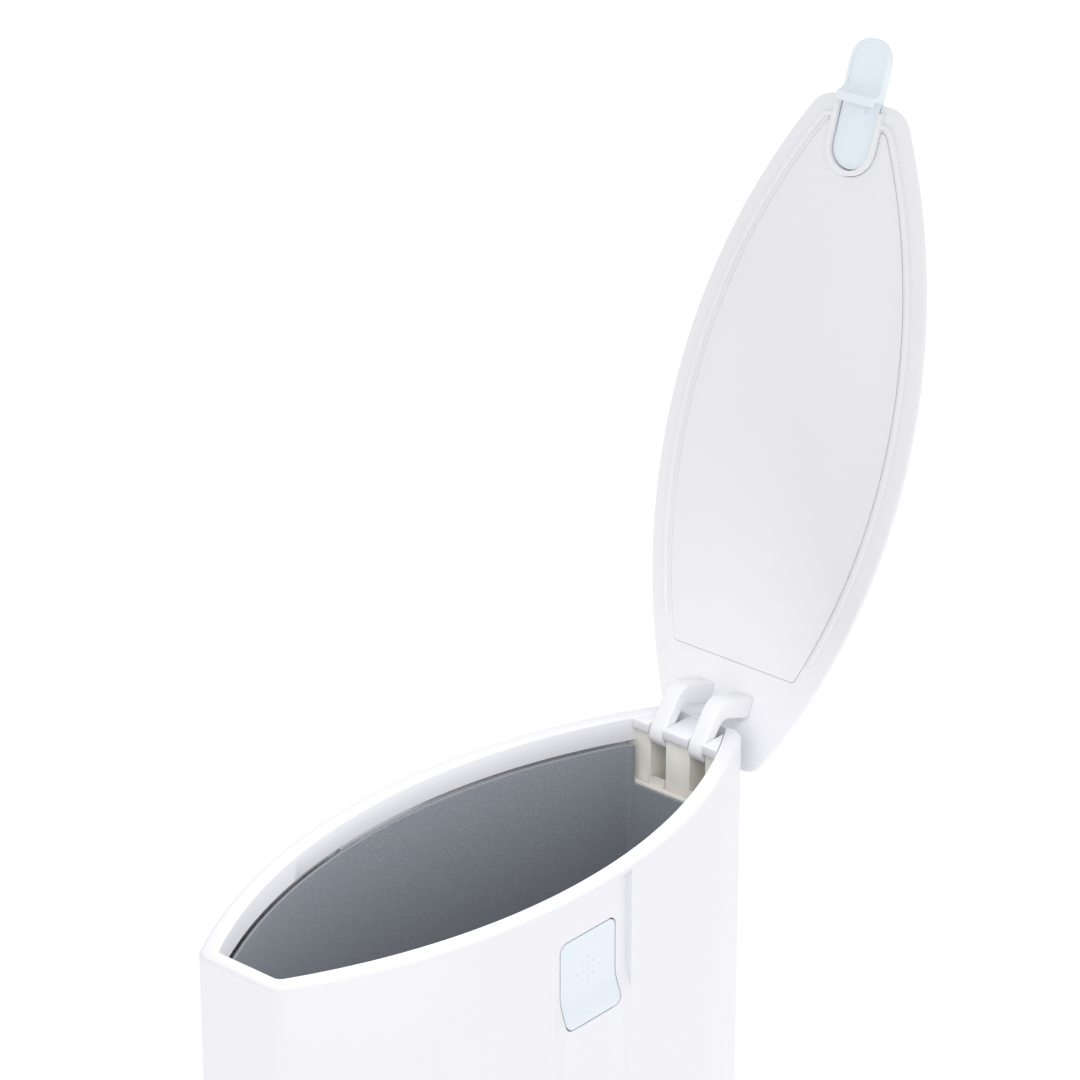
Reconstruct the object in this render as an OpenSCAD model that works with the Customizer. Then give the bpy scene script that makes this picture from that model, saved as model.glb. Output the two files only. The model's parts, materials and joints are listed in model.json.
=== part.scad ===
// Slim pedal bin for wards and washrooms, with its lid held open.
// +Z is up and the floor is z = 0. The front, with the pedal, faces -Y and the hinge is at +Y.
// Every moving piece is drawn where it stands while the pedal is held down.

/* [Body] */
// Length of the body, front to back
body_length = 400; // [340:1:460]
// Width of the body across the middle of its bulging sides
body_width = 170; // [150:1:205]
// Height of the body, floor to rim
body_height = 520; // [430:1:640]
// Width of the flat end faces before their corners are rounded
end_width = 57; // [54:0.5:66]
// Corner radius at the front end
front_corner = 11; // [6:0.5:12]
// Corner radius at the rear end
rear_corner = 13; // [8:0.5:14]
// Thickness of the moulded wall
wall = 3; // [2.4:0.1:3.6]

/* [Rim] */
// Width of the flat rim
rim_width = 10.5; // [9:0.1:12]
// Thickness of the rim
rim_thick = 3; // [2.4:0.1:4]
// Depth of the skirt that hangs inside the rim
skirt_depth = 15; // [10:0.5:20]
// Thickness of the skirt
skirt_thick = 2; // [1.5:0.1:3]

/* [Inner bucket] */
// Gap between the bucket and the inner edge of the rim
bucket_gap = 1.2; // [1:0.1:3]
// Thickness of the bucket wall
bucket_wall = 2; // [1.5:0.1:3]
// Depth of the bucket edge below the rim
bucket_drop = 16; // [15:0.5:24]
// Height of the bucket floor above the ground
bucket_base = 74; // [70:1:110]

/* [Lid] */
// How far the lid stands open
open_angle = 109; // [95:1:110]
// Height of the hinge axis below the rim
pivot_drop = 15.5; // [15:0.5:17]
// Distance of the hinge axis in front of the rear face
pivot_inset = 9; // [8.5:0.1:9.4]
// Overhang of the lid at the sides
lid_side_over = 2.5; // [1:0.1:4]
// Overhang of the lid at the front
lid_front_over = 3; // [2.5:0.5:9]
// Thickness of the lid at its edge
lid_edge = 3.4; // [2.8:0.1:5]
// Rise of the lid's crown above its edge
lid_crown = 6; // [4:0.5:10]
// Height of the bead that rests on the rim
bead_height = 2.6; // [2.4:0.1:3.2]
// Width of the bead
bead_width = 3.6; // [3:0.1:5]
// Distance of the bead in from the side face of the body
bead_inset = 7; // [6:0.5:8]
// Distance of the bead's ends from the rear face
bead_rear = 75; // [60:1:100]
// Distance of the inner panel in from the side face of the body
panel_inset = 12.4; // [12:0.1:16]
// Distance of the panel's rear edge from the rear face
panel_rear = 61; // [58:1:90]
// Thickness of the inner panel
panel_thick = 1.6; // [1.2:0.1:2]

/* [Hinge] */
// Distance of the housing's front lip from the rear face
housing_depth = 30; // [30:0.1:31]
// Depth of the housing floor below the rim
housing_floor = 44; // [42:0.5:48]
// Width of each hinge arm
arm_width = 11; // [9:0.5:12]
// Distance between the middles of the two arms
arm_spacing = 30; // [29:0.5:31]
// Radius of the hinge shaft
shaft_radius = 2.5; // [2:0.1:3]
// Radius of the crank that the push rod turns
crank_radius = 9.4; // [9:0.1:10]
// Radius of the crank pin
crank_pin = 1.6; // [1.2:0.1:1.8]

/* [Pedal] */
// Height of the pedal's pivot above the floor
pedal_pivot_height = 38; // [34:1:44]
// Distance of the pedal's pivot behind the middle of the body
pedal_pivot_back = 20; // [0:1:40]
// How far the tread stands out in front of the body
tread_reach = 42; // [35:1:55]
// Width of the tread
tread_width = 74; // [60:1:90]
// Radius of the pedal's pivot pin
pedal_pin_radius = 4; // [3:0.1:5]
// Thickness of the steel lever
lever_thick = 4; // [3:0.1:6]
// Height of the steel lever
lever_height = 18; // [14:1:20]

/* [Side buttons] */
// Width of the recess round each button
recess_width = 66; // [60:1:74]
// Depth of the recess below the rim
recess_height = 88; // [84:1:96]
// Depth of the recess into the wall
recess_depth = 5.6; // [5:0.1:5.8]
// Width of the button
button_width = 46.5; // [40:0.5:52]
// Height of the button
button_height = 53; // [46:0.5:54]
// Distance of the button's top edge below the rim
button_drop = 31; // [30:0.5:34]
// Thickness of the button
button_thick = 2.2; // [1.8:0.1:2.4]
// Radius of the button's pin
button_pin_radius = 1; // [0.8:0.1:1.2]

/* [Latch] */
// Width of the latch tab
latch_width = 27; // [22:0.5:32]
// Length of the tab in front of the lid
latch_reach = 37; // [34:1:50]
// Length of the tab's plate under the lid
latch_root = 41; // [28:0.5:42]
// Thickness of the latch tab
latch_thick = 2.6; // [2:0.1:3]
// Radius of the latch pin
latch_pin_radius = 1; // [0.8:0.1:1.2]

/* [Base] */
// Height of the base moulding's side wall
base_wall_height = 16; // [12:1:24]
// Thickness of the base floor
base_thick = 4; // [3:0.5:6]
// Depth of the screw bosses' pockets in the base
screw_head_depth = 3; // [2.5:0.5:3.5]

/* [Fits] */
// Radial clearance of the running fits
run_fit = 0.05; // [0.02:0.01:0.09]
// Clearance between pieces that only stand beside each other
gap = 0.5; // [0.4:0.1:0.8]
// Clearance round the button and the latch plate
button_gap = 0.9; // [0.6:0.1:1.2]

/* [Hidden] */
$fn = 48;

// Colours of the mouldings and the metal pieces
white = [0.97, 0.97, 0.98];
warm_white = [0.9, 0.89, 0.85];
bucket_grey = [0.42, 0.44, 0.46];
ice_blue = [0.88, 0.94, 0.99];
steel = [0.72, 0.73, 0.75];
dark_rubber = [0.16, 0.16, 0.17];

// Plan of the body: two long arcs cut off by two flat ends
half_length = body_length / 2;
half_width = body_width / 2;
bulge = half_width - end_width / 2;
side_radius = (half_length * half_length + bulge * bulge) / (2 * bulge);
arc_centre = side_radius - half_width;
tiny = 0.01;
over = 1;
arc_steps = 40;
corner_steps = 6;

// Half width of the body at y, measured to a surface that lies inset inside the side
function side_x(inset, y) = sqrt(pow(side_radius - inset, 2) - y * y) - arc_centre;

function ring_points(cx, cy, r, from, to, steps) =
    [for (i = [0:steps]) let (a = from + (to - from) * i / steps) [cx + r * cos(a), cy + r * sin(a)]];

// Right half of an outline that runs inside the side face and stops at two flat ends
function right_half(inset, front, rear, rf, rr) = let (
    fx = side_x(inset + rf, front - rf),
    rx = side_x(inset + rr, rear - rr),
    fa = atan2(rf - front, fx + arc_centre),
    ra = atan2(rear - rr, rx + arc_centre)) concat(
    ring_points(fx, rf - front, rf, -90, fa, corner_steps),
    [for (i = [1:arc_steps - 1]) let (a = fa + (ra - fa) * i / arc_steps)
        [(side_radius - inset) * cos(a) - arc_centre, (side_radius - inset) * sin(a)]],
    ring_points(rx, rear - rr, rr, ra, 90, corner_steps));

function plan(inset, front, rear, rf, rr) = let (half = right_half(inset, front, rear, rf, rr))
    concat(half, [for (i = [len(half) - 1:-1:0]) [-half[i][0], half[i][1]]]);

module prism(inset, front, rear, rf, rr, low, high) {
    translate([0, 0, low])
        linear_extrude(high - low) polygon(plan(inset, front, rear, rf, rr));
}

// A prism that keeps the same distance inside every face of the body
module shell_prism(inset, low, high) {
    prism(inset, half_length - inset, half_length - inset,
        max(front_corner - inset, over), max(rear_corner - inset, over), low, high);
}

module x_rod(r, from, to) {
    translate([from, 0, 0]) rotate([0, 90, 0]) cylinder(r = r, h = to - from);
}

module box(low, high) {
    translate(low) cube(high - low);
}

// Opening inside the rim: it follows the sides and stops at the rear wall
mouth_front = half_length - rim_width;
mouth_rear = half_length - wall;
mouth_corner = 5;
module mouth(grow, low, high) {
    prism(rim_width - grow, mouth_front + grow, mouth_rear, mouth_corner, over, low, high);
}

// Hinge axis
pivot_y = half_length - pivot_inset;
pivot_z = body_height - pivot_drop;
module at_pivot() { translate([0, pivot_y, pivot_z]) children(); }
// Carries a closed lid piece to the open place
module opened() { at_pivot() rotate([-open_angle, 0, 0]) translate([0, -pivot_y, -pivot_z]) children(); }

// Side buttons
recess_top = body_height - rim_thick - 0.3;
recess_bottom = body_height - recess_height;
recess_face = half_width - recess_depth;
recess_wall = 2.4;
button_top = body_height - button_drop;
button_bottom = button_top - button_height;
button_corner = 5;
sweep_height = 25;
sweep_steps = 10;
button_pin_x = half_width - recess_depth - recess_wall - button_pin_radius - 0.6;
button_pin_z = button_bottom + 7;
button_knuckle_radius = button_pin_radius + 0.9;
button_knuckle_length = 8;
button_knuckle_y = button_width / 2 - button_knuckle_length / 2;
button_lug_length = 4;
button_lug_y = button_width / 2 + button_gap + 0.4;
button_pin_half = button_lug_y + button_lug_length;

// Floor of the recess: flat above, and swept out to the side face at its foot
function sweep_x(z) = recess_face
    + recess_depth * pow(sin(90 * max(0, min(1, (recess_bottom + sweep_height - z) / sweep_height))), 2);

function sweep_points(low, high) =
    [for (i = [0:sweep_steps]) let (z = low + (high - low) * i / sweep_steps) [sweep_x(z), z]];

// Pushes an outline in the XZ plane out to both sides of the middle
module y_plate(width, points) {
    translate([0, width / 2, 0]) rotate([90, 0, 0]) linear_extrude(width) polygon(points);
}

// Pushes a flat rounded plate out of the XZ plane of one side wall
module side_plate(width, low, high, corner, from, to) {
    translate([from, 0, (low + high) / 2]) rotate([90, 0, 90]) linear_extrude(to - from)
        hull() for (sx = [-1, 1], sy = [-1, 1])
            translate([sx * (width / 2 - corner), sy * ((high - low) / 2 - corner)]) circle(r = corner);
}

module button_seat() {
    box([recess_face - recess_wall, -recess_width / 2 - wall, recess_bottom - wall],
        [half_width - wall / 2, recess_width / 2 + wall, body_height - rim_thick]);
}

module button_recess() {
    y_plate(recess_width, concat(sweep_points(recess_bottom, recess_bottom + sweep_height),
        [[recess_face, recess_top], [half_width + over, recess_top], [half_width + over, recess_bottom]]));
    side_plate(button_width + 2 * button_gap, button_bottom - button_gap, button_top + button_gap,
        button_corner + button_gap, recess_face - recess_wall - over, half_width);
}

// Window for the pedal lever at the foot of the front
window_half = tread_width / 2 + 4;
window_top = pedal_pivot_height + 28;
window_sill = base_wall_height + 2;

module outer_body() {
    color(white) difference() {
        union() {
            difference() {
                shell_prism(0, 0, body_height);
                shell_prism(wall, -over, body_height - rim_thick);
                mouth(0, body_height - rim_thick - over, body_height + over);
            }
            difference() {
                prism(rim_width - skirt_thick, mouth_front + skirt_thick, half_length - housing_depth - gap,
                    mouth_corner + skirt_thick, over,
                    body_height - skirt_depth, body_height - rim_thick + tiny);
                mouth(0, body_height - skirt_depth - over, body_height);
            }
            for (s = [0, 1]) mirror([s, 0, 0]) {
                button_seat();
                button_lug_pair();
            }
            base_bosses();
        }
        for (s = [0, 1]) mirror([s, 0, 0]) button_recess();
        box([-window_half, -half_length - over, window_sill],
            [window_half, -half_length + wall + over, window_top]);
        rear_chamfer();
        rear_screw_holes();
    }
}

// Two lugs beside the button's hole carry its pin
module button_lug_pair() {
    for (t = [0, 1]) mirror([0, t, 0]) difference() {
        box([button_pin_x - button_knuckle_radius, button_lug_y, button_pin_z - button_knuckle_radius],
            [recess_face - recess_wall + tiny, button_lug_y + button_lug_length,
                button_pin_z + button_knuckle_radius]);
        translate([button_pin_x, 0, button_pin_z]) rotate([90, 0, 0])
            cylinder(r = button_pin_radius + run_fit, h = body_width, center = true);
    }
}

// Slope along the top of the rear wall that the lid swings past
rear_slope = 1.5;
module rear_chamfer() {
    translate([0, half_length, body_height]) rotate([45, 0, 0])
        cube([body_width, rear_slope * sqrt(2), 4 * rear_slope * sqrt(2)], center = true);
}

// Screws through the rear wall: places of the hinge housing's pair and of each rod guide's pair
screw_radius = 1.8;
screw_head_radius = 3.4;
screw_head = 1.5;
housing_lug = 18;
housing_screw_z = body_height - housing_floor - rim_thick - housing_lug / 2;
guide_low_z = 126;
guide_high_z = housing_screw_z - 60;
guide_height = 12;
rear_screw_x = 13;
guide_screw_x = [-9.5, 6.5];
rear_screw_length = 9;

module rear_screw(x, z) {
    translate([x, half_length, z]) rotate([90, 0, 0]) {
        cylinder(r = screw_head_radius, h = screw_head);
        cylinder(r = screw_radius, h = rear_screw_length);
    }
}

module rear_screw_hole(x, z) {
    translate([x, half_length + tiny, z]) rotate([90, 0, 0]) {
        cylinder(r = screw_head_radius + run_fit, h = screw_head + tiny);
        cylinder(r = screw_radius + run_fit, h = wall + over);
    }
}

module rear_screw_holes() {
    for (s = [-1, 1]) rear_screw_hole(s * rear_screw_x, housing_screw_z);
    for (z = [guide_low_z, guide_high_z], x = guide_screw_x) rear_screw_hole(x, z);
}

module housing_screws() {
    color(steel) for (s = [-1, 1]) rear_screw(s * rear_screw_x, housing_screw_z);
}

module guide_screws() {
    color(steel) for (z = [guide_low_z, guide_high_z], x = guide_screw_x) rear_screw(x, z);
}

// Base: a tray inside the foot of the body, screwed up into four bosses
base_inset = wall + gap;
base_wall = 2.4;
boss_radius = 5;
boss_y = body_length * 0.23;
boss_x = side_x(wall, boss_y) - boss_radius + 1;
boss_top = base_wall_height + 20;
post_radius = 7;
post_x = half_width * 0.5;
post_y = body_length * 0.3;
post_top = bucket_base - 0.3;
pad_radius = 10;
pad_thick = 2.5;
pad_x = half_width * 0.47;
pad_y = body_length * 0.36;
bracket_seat = 8;
bracket_half_x = 24;
bracket_half_y = 16;
bracket_screw_x = 17;
bracket_screw_y = 9;

module each_boss() {
    for (sx = [-1, 1], sy = [-1, 1]) translate([sx * boss_x, sy * boss_y, 0]) children();
}

module base_bosses() {
    each_boss() difference() {
        translate([0, 0, base_thick + gap]) cylinder(r = boss_radius, h = boss_top - base_thick - gap);
        cylinder(r = screw_radius, h = boss_top - 4);
    }
}

module base_plate() {
    color(warm_white) difference() {
        union() {
            shell_prism(base_inset, 0, base_thick);
            difference() {
                shell_prism(base_inset, 0, base_wall_height);
                shell_prism(base_inset + base_wall, base_thick, base_wall_height + over);
            }
            for (sx = [-1, 1], sy = [-1, 1]) translate([sx * post_x, sy * post_y, 0])
                cylinder(r = post_radius, h = post_top);
            box([lever_mid - bracket_half_x, pedal_pivot_back - bracket_half_y, base_thick - over],
                [lever_mid + bracket_half_x, pedal_pivot_back + bracket_half_y, bracket_seat]);
        }
        for (sx = [-1, 1], sy = [-1, 1]) translate([sx * pad_x, sy * pad_y, -tiny])
            cylinder(r = pad_radius, h = pad_thick + tiny);
        each_boss() {
            translate([0, 0, -tiny])
                cylinder(r = screw_head_radius + run_fit, h = screw_head_depth / 2 + tiny);
            cylinder(r = screw_radius + run_fit, h = base_thick + over);
            translate([0, 0, base_thick]) cylinder(r = boss_radius + gap, h = base_wall_height);
        }
        for (sx = [-1, 1], sy = [-1, 1])
            translate([lever_mid + sx * bracket_screw_x, pedal_pivot_back + sy * bracket_screw_y, 2])
                cylinder(r = screw_radius, h = bracket_seat);
    }
}

module foot_pads() {
    color(dark_rubber) for (sx = [-1, 1], sy = [-1, 1]) translate([sx * pad_x, sy * pad_y, 0])
        cylinder(r = pad_radius - run_fit, h = pad_thick - run_fit);
}

module base_screws() {
    color(steel) each_boss() {
        cylinder(r = screw_head_radius, h = screw_head_depth / 2);
        cylinder(r = screw_radius - run_fit, h = boss_top - 8);
    }
}

// Inner bucket: lifts out past the rim, and its rear wall stops below the hinge housing's lip
bucket_inset = rim_width + bucket_gap;
bucket_front = mouth_front - bucket_gap;
bucket_rear = half_length - housing_depth - 0.6;
bucket_corner = 6;
bucket_top = body_height - bucket_drop;
bucket_floor = 2.5;
lip_rise = 4.5;
lip_depth = 1.6;
bucket_notch = body_height - housing_floor + lip_rise - 2;
bucket_notch_half = side_x(bucket_inset + bucket_wall, bucket_rear);

module inner_bucket() {
    color(bucket_grey) difference() {
        prism(bucket_inset, bucket_front, bucket_rear, bucket_corner, bucket_corner, bucket_base, bucket_top);
        prism(bucket_inset + bucket_wall, bucket_front - bucket_wall, bucket_rear - bucket_wall,
            bucket_corner - bucket_wall, bucket_corner - bucket_wall,
            bucket_base + bucket_floor, bucket_top + over);
        box([-bucket_notch_half, bucket_rear - bucket_wall - bucket_corner, bucket_notch],
            [bucket_notch_half, bucket_rear + over, bucket_top + over]);
    }
}

// Hinge housing: a pocket at the rear of the mouth, a hollow block between the arms and two cheeks
floor_z = body_height - housing_floor;
floor_thick = 3;
housing_lip = half_length - housing_depth;
block_half = arm_spacing / 2 - arm_width / 2 - 0.6;
block_wall = 1.8;
block_front = half_length - 25.5;
slot_in = arm_spacing / 2 - arm_width / 2 - 0.4;
slot_out = arm_spacing / 2 + arm_width / 2 + 0.4;
housing_top = body_height - rim_thick - gap;
housing_rear = half_length - wall - gap;
shaft_half = slot_out + 5;
hood_front = 29 - half_length;
hood_thick = 6;
block_rear_wall = 1;

// The crank's pin and the fork on the push rod's head
half_swing = open_angle / 2;
crank_rise = crank_radius * sin(half_swing);
pin_y_far = pivot_y - crank_radius;
pin_y_near = pivot_y - crank_radius * cos(half_swing);
pin_slack = 0.75;
fork_arm = 1.5;
rod_thick = 3;
rod_left = -3.4;
rod_right = rod_left + rod_thick;
rod_front = pin_y_far - crank_pin - 0.4 - fork_arm;
rod_rear = pin_y_near + crank_pin / 2;
rod_y = (rod_front + rod_rear) / 2;
fork_half = crank_pin + pin_slack;
rod_slot_gap = 0.5;

module rod_passage(low, high) {
    box([rod_left - rod_slot_gap, rod_front - rod_slot_gap, low],
        [rod_right + rod_slot_gap, rod_rear + rod_slot_gap, high]);
}

module arm_slots() {
    for (s = [0, 1]) mirror([s, 0, 0]) {
        box([slot_in, block_front - over, floor_z], [slot_out, half_length, body_height + over]);
        box([slot_in, -hood_front - over, body_height - hood_thick - over],
            [slot_out, block_front, body_height + over]);
    }
}

module hinge_housing() {
    color(warm_white) difference() {
        union() {
            difference() {
                prism(base_inset, -housing_lip, housing_rear, over, rear_corner - base_inset,
                    floor_z - floor_thick, housing_top);
                prism(rim_width + skirt_thick, -housing_lip + over, block_front, over, over,
                    floor_z + lip_rise, body_height + over);
                prism(rim_width + skirt_thick, -housing_lip - lip_depth, block_front, over, over,
                    floor_z, floor_z + lip_rise + over);
            }
            box([-block_half, block_front, floor_z], [block_half, housing_rear, body_height - 0.6]);
            prism(rim_width + gap, hood_front, housing_rear, over, over,
                body_height - hood_thick, body_height - 0.6);
            box([-rear_screw_x - 5, housing_rear - 7, floor_z - floor_thick - housing_lug],
                [rear_screw_x + 5, housing_rear, floor_z - floor_thick + tiny]);
        }
        arm_slots();
        box([-block_half + block_wall, block_front + block_wall, floor_z],
            [block_half - block_wall, housing_rear - block_rear_wall, body_height - 0.6 - block_wall]);
        rod_passage(floor_z - floor_thick - housing_lug - over, floor_z + over);
        at_pivot() x_rod(shaft_radius + run_fit, -shaft_half - 0.3, shaft_half + 0.3);
        for (s = [-1, 1]) translate([s * rear_screw_x, half_length, housing_screw_z]) rotate([90, 0, 0])
            cylinder(r = screw_radius, h = rear_screw_length + 0.3);
    }
}

// Everything that turns with the lid is drawn closed and then opened
module hinge_shaft() {
    color(steel) opened() at_pivot() x_rod(shaft_radius, -shaft_half, shaft_half);
}

crank_left = 0.2;
crank_right = 3.2;
crank_hub = housing_rear - block_rear_wall - gap - pivot_y;
crank_closed_angle = 180 + half_swing;
crank_web = crank_pin + 0.9;
crank_step = 0.4;

module crank() {
    color(steel) opened() at_pivot() difference() {
        union() {
            x_rod(crank_hub, crank_left, block_half - block_wall - 1);
            translate([0, crank_radius * cos(crank_closed_angle), crank_radius * sin(crank_closed_angle)])
                x_rod(crank_pin + 1.2, crank_left, crank_right);
            rotate([crank_closed_angle, 0, 0])
                box([crank_left, 0, -crank_web], [crank_right - crank_step, crank_radius, crank_web]);
        }
        x_rod(shaft_radius, -over, block_half);
        translate([0, crank_radius * cos(crank_closed_angle), crank_radius * sin(crank_closed_angle)])
            x_rod(crank_pin, 0, block_half);
    }
}

module crank_pin() {
    color(steel) opened() at_pivot()
        translate([0, crank_radius * cos(crank_closed_angle), crank_radius * sin(crank_closed_angle)])
            x_rod(crank_pin, rod_left - 0.4, crank_right);
}

// Push rod: a flat strip with a fork at its head and a hole at its foot
pedal_half_angle = asin(crank_rise / (rod_y - pedal_pivot_back));
foot_pin_radius = 2;
foot_pin_z = pedal_pivot_height + crank_rise;
fork_z = pivot_z + crank_rise;
rod_bottom = foot_pin_z - 7;

module push_rod() {
    color(steel) difference() {
        box([rod_left, rod_front, rod_bottom], [rod_right, rod_rear, fork_z + fork_half + fork_arm]);
        box([rod_left - over, rod_front + fork_arm, fork_z - fork_half],
            [rod_right + over, rod_rear + over, fork_z + fork_half]);
        translate([0, rod_y, foot_pin_z]) x_rod(foot_pin_radius, rod_left - over, rod_right + over);
    }
}

module rod_guide(z) {
    color(warm_white) difference() {
        box([guide_screw_x[0] - 4, rod_front - 3.5, z - guide_height / 2],
            [guide_screw_x[1] + 4, housing_rear, z + guide_height / 2]);
        rod_passage(z - guide_height, z + guide_height);
        for (x = guide_screw_x) translate([x, half_length, z]) rotate([90, 0, 0])
            cylinder(r = screw_radius, h = rear_screw_length + 0.3);
    }
}

module rod_guide_upper() { rod_guide(guide_high_z); }
module rod_guide_lower() { rod_guide(guide_low_z); }

// Lid
lid_under = body_height + bead_height + 0.3;
lid_front = half_length + lid_front_over;
lid_front_corner = 18;
lid_shelf = 4;
lid_roof = 2.2;
lid_top = lid_under + lid_edge;
lid_shoulder = lid_top + lid_crown * 0.7;
bead_inset_in = bead_inset + bead_width;
latch_round = latch_width / 2;
latch_round_y = -lid_front + latch_root - latch_round;
boss_wall = 3.2;
latch_pin_y = -half_length;
latch_pin_z = lid_under + latch_thick / 2;

module lid_prism(inset, rear, low, high) {
    prism(inset, lid_front - lid_side_over - inset, rear, max(lid_front_corner - inset, 3), 3, low, high);
}

module latch_outline(grow) {
    translate([0, latch_round_y]) circle(r = latch_round + grow);
    translate([-latch_round - grow, -lid_front - over])
        square([latch_width + 2 * grow, latch_round_y + lid_front + over]);
}

module latch_bed(grow, low, high) {
    translate([0, 0, low]) linear_extrude(high - low) latch_outline(grow);
}

module lid_shell() {
    color(white) opened() difference() {
        union() {
            prism(-lid_side_over, lid_front, half_length, lid_front_corner, rear_corner, lid_under, lid_top);
            hull() {
                lid_prism(2, half_length - 4, lid_top - tiny, lid_top);
                lid_prism(14, half_length - 16, lid_shoulder, lid_shoulder + tiny);
                lid_prism(30, half_length - 36, lid_top + lid_crown - tiny, lid_top + lid_crown);
            }
            difference() {
                prism(bead_inset, half_length - bead_inset, half_length - bead_rear, mouth_corner, over,
                    lid_under - bead_height, lid_under + tiny);
                prism(bead_inset_in, half_length - bead_inset_in, half_length, mouth_corner, over,
                    lid_under - bead_height - over, lid_under + over);
            }
            intersection() {
                latch_bed(boss_wall + button_gap, lid_under - bead_height, lid_under + over);
                prism(bead_inset - 3, half_length - over, 0, mouth_corner, over,
                    lid_under - bead_height, lid_under + over);
            }
        }
        difference() {
            union() {
                lid_prism(panel_inset, half_length - panel_rear,
                    lid_under - over, lid_under + panel_thick + 0.1);
                hull() {
                    lid_prism(panel_inset + lid_shelf, half_length - panel_rear - lid_shelf,
                        lid_under, lid_top - 0.6);
                    lid_prism(32, half_length - panel_rear - 16, lid_under, lid_top + lid_crown - lid_roof);
                }
            }
            latch_bed(boss_wall + button_gap, lid_under - bead_height, lid_top + lid_edge + lid_crown);
        }
        latch_bed(button_gap, lid_under - bead_height - over, lid_under + latch_thick + button_gap);
        translate([0, latch_pin_y, latch_pin_z])
            x_rod(latch_pin_radius + run_fit, -latch_round - boss_wall, latch_round + boss_wall);
        arm_screw_holes();
    }
}

module lid_inner_panel() {
    color([0.94, 0.94, 0.95]) opened() difference() {
        lid_prism(panel_inset + 0.2, half_length - panel_rear - 0.2, lid_under, lid_under + panel_thick);
        latch_bed(boss_wall + button_gap + 0.3, lid_under - over, lid_under + 2 * lid_edge);
    }
}

// Hinge arms: a leg under the lid, a bend below it and a boss on the shaft
leg_near = 23;
leg_far = 36;
leg_drop = 9;
bend_low = 22.3;
arm_hub = 5;
arm_seat = lid_under - pivot_z;
arm_screw_s = [26.5, 32.5];
arm_screw_radius = 1.2;

module arm_outline() {
    hull() {
        translate([-leg_far + 3, -leg_drop]) circle(r = 3);
        translate([-4, -bend_low + 4.5]) circle(r = 4.5);
        translate([-leg_near - 4, -leg_drop - 1]) circle(r = 4);
    }
    hull() {
        translate([-1.5, -bend_low + 4.5]) circle(r = 4.5);
        circle(r = arm_hub);
    }
    translate([-leg_far, -leg_drop]) square([leg_far - leg_near, leg_drop + arm_seat]);
}

module hinge_arm(side) {
    color(white) opened() at_pivot() difference() {
        translate([side * arm_spacing / 2 - arm_width / 2, 0, 0]) rotate([90, 0, 90])
            linear_extrude(arm_width) arm_outline();
        x_rod(shaft_radius, -body_width, body_width);
        for (s = arm_screw_s) translate([side * arm_spacing / 2, -s, arm_seat - 9])
            cylinder(r = arm_screw_radius, h = 10);
    }
}

module hinge_arm_left() { hinge_arm(-1); }
module hinge_arm_right() { hinge_arm(1); }

arm_screw_head = 2.4;
arm_screw_sink = 1.2;

module arm_screw_holes() {
    at_pivot() for (side = [-1, 1], s = arm_screw_s)
        translate([side * arm_spacing / 2, -s, arm_seat - over]) {
            cylinder(r = arm_screw_radius + run_fit, h = 2 * lid_edge + lid_crown);
            translate([0, 0, over + lid_edge - arm_screw_sink])
                cylinder(r = arm_screw_head + run_fit, h = lid_crown + lid_edge);
        }
}

module arm_screws() {
    color(steel) opened() at_pivot() for (side = [-1, 1], s = arm_screw_s)
        translate([side * arm_spacing / 2, -s, arm_seat]) {
            translate([0, 0, -8]) cylinder(r = arm_screw_radius, h = 8 + lid_edge);
            translate([0, 0, lid_edge - arm_screw_sink]) cylinder(r = arm_screw_head, h = 1.6);
        }
}

// Latch tab: a plate under the lid's tip, a finger tab in front of it and a lip between them
tab_end_y = -lid_front - latch_reach + latch_round;
lip_thick = 2.2;
lip_drop = 9;
lip_nib = 2;
lip_sweep = 15;
lip_sweep_steps = 8;
tab_wall = 2.2;
tab_wall_drop = 3;
lip_front = -lid_front - over - lip_thick;
spring_wire = 0.25;
latch_coil = latch_pin_radius + spring_wire + 0.3;
coil_half = 3;

module tab_end(grow) {
    translate([0, tab_end_y]) circle(r = latch_round + grow);
    translate([-latch_round - grow, tab_end_y])
        square([latch_width + 2 * grow, lip_front - tab_end_y + tiny]);
}

module latch_tab() {
    color(ice_blue) opened() difference() {
        union() {
            translate([0, 0, lid_under]) linear_extrude(latch_thick) {
                translate([0, latch_round_y]) circle(r = latch_round);
                translate([-latch_round, tab_end_y]) square([latch_width, latch_round_y - tab_end_y]);
                translate([0, tab_end_y]) circle(r = latch_round);
            }
            box([-latch_round, lip_front, lid_under - lip_drop],
                [latch_round, -lid_front - over, lid_under + tiny]);
            box([-latch_round, -lid_front - over - tiny, lid_under - lip_drop],
                [latch_round, -lid_front + lip_nib, lid_under - lip_drop + 2]);
            translate([0, 0, lid_under - tab_wall_drop]) linear_extrude(tab_wall_drop + tiny) difference() {
                tab_end(0);
                tab_end(-tab_wall);
            }
            translate([-latch_round, 0, lid_under]) rotate([90, 0, 90]) linear_extrude(latch_width)
                polygon(concat([[lip_front + tiny, tiny], [lip_front - lip_sweep, tiny]],
                    [for (i = [0:lip_sweep_steps]) let (a = 90 * i / lip_sweep_steps)
                        [lip_front - lip_sweep * (1 - sin(a)), -lip_drop * (1 - cos(a))]]));
        }
        box([-coil_half - 0.4, latch_pin_y - 3, lid_under - over],
            [coil_half + 0.4, latch_pin_y + 4, lid_under + latch_thick + over]);
        translate([0, latch_pin_y, latch_pin_z]) x_rod(latch_pin_radius, -latch_width, latch_width);
    }
}

module latch_pivot_pin() {
    color(steel) opened() translate([0, latch_pin_y, latch_pin_z])
        x_rod(latch_pin_radius, -latch_round - boss_wall + 0.4, latch_round + boss_wall - 0.4);
}

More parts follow.
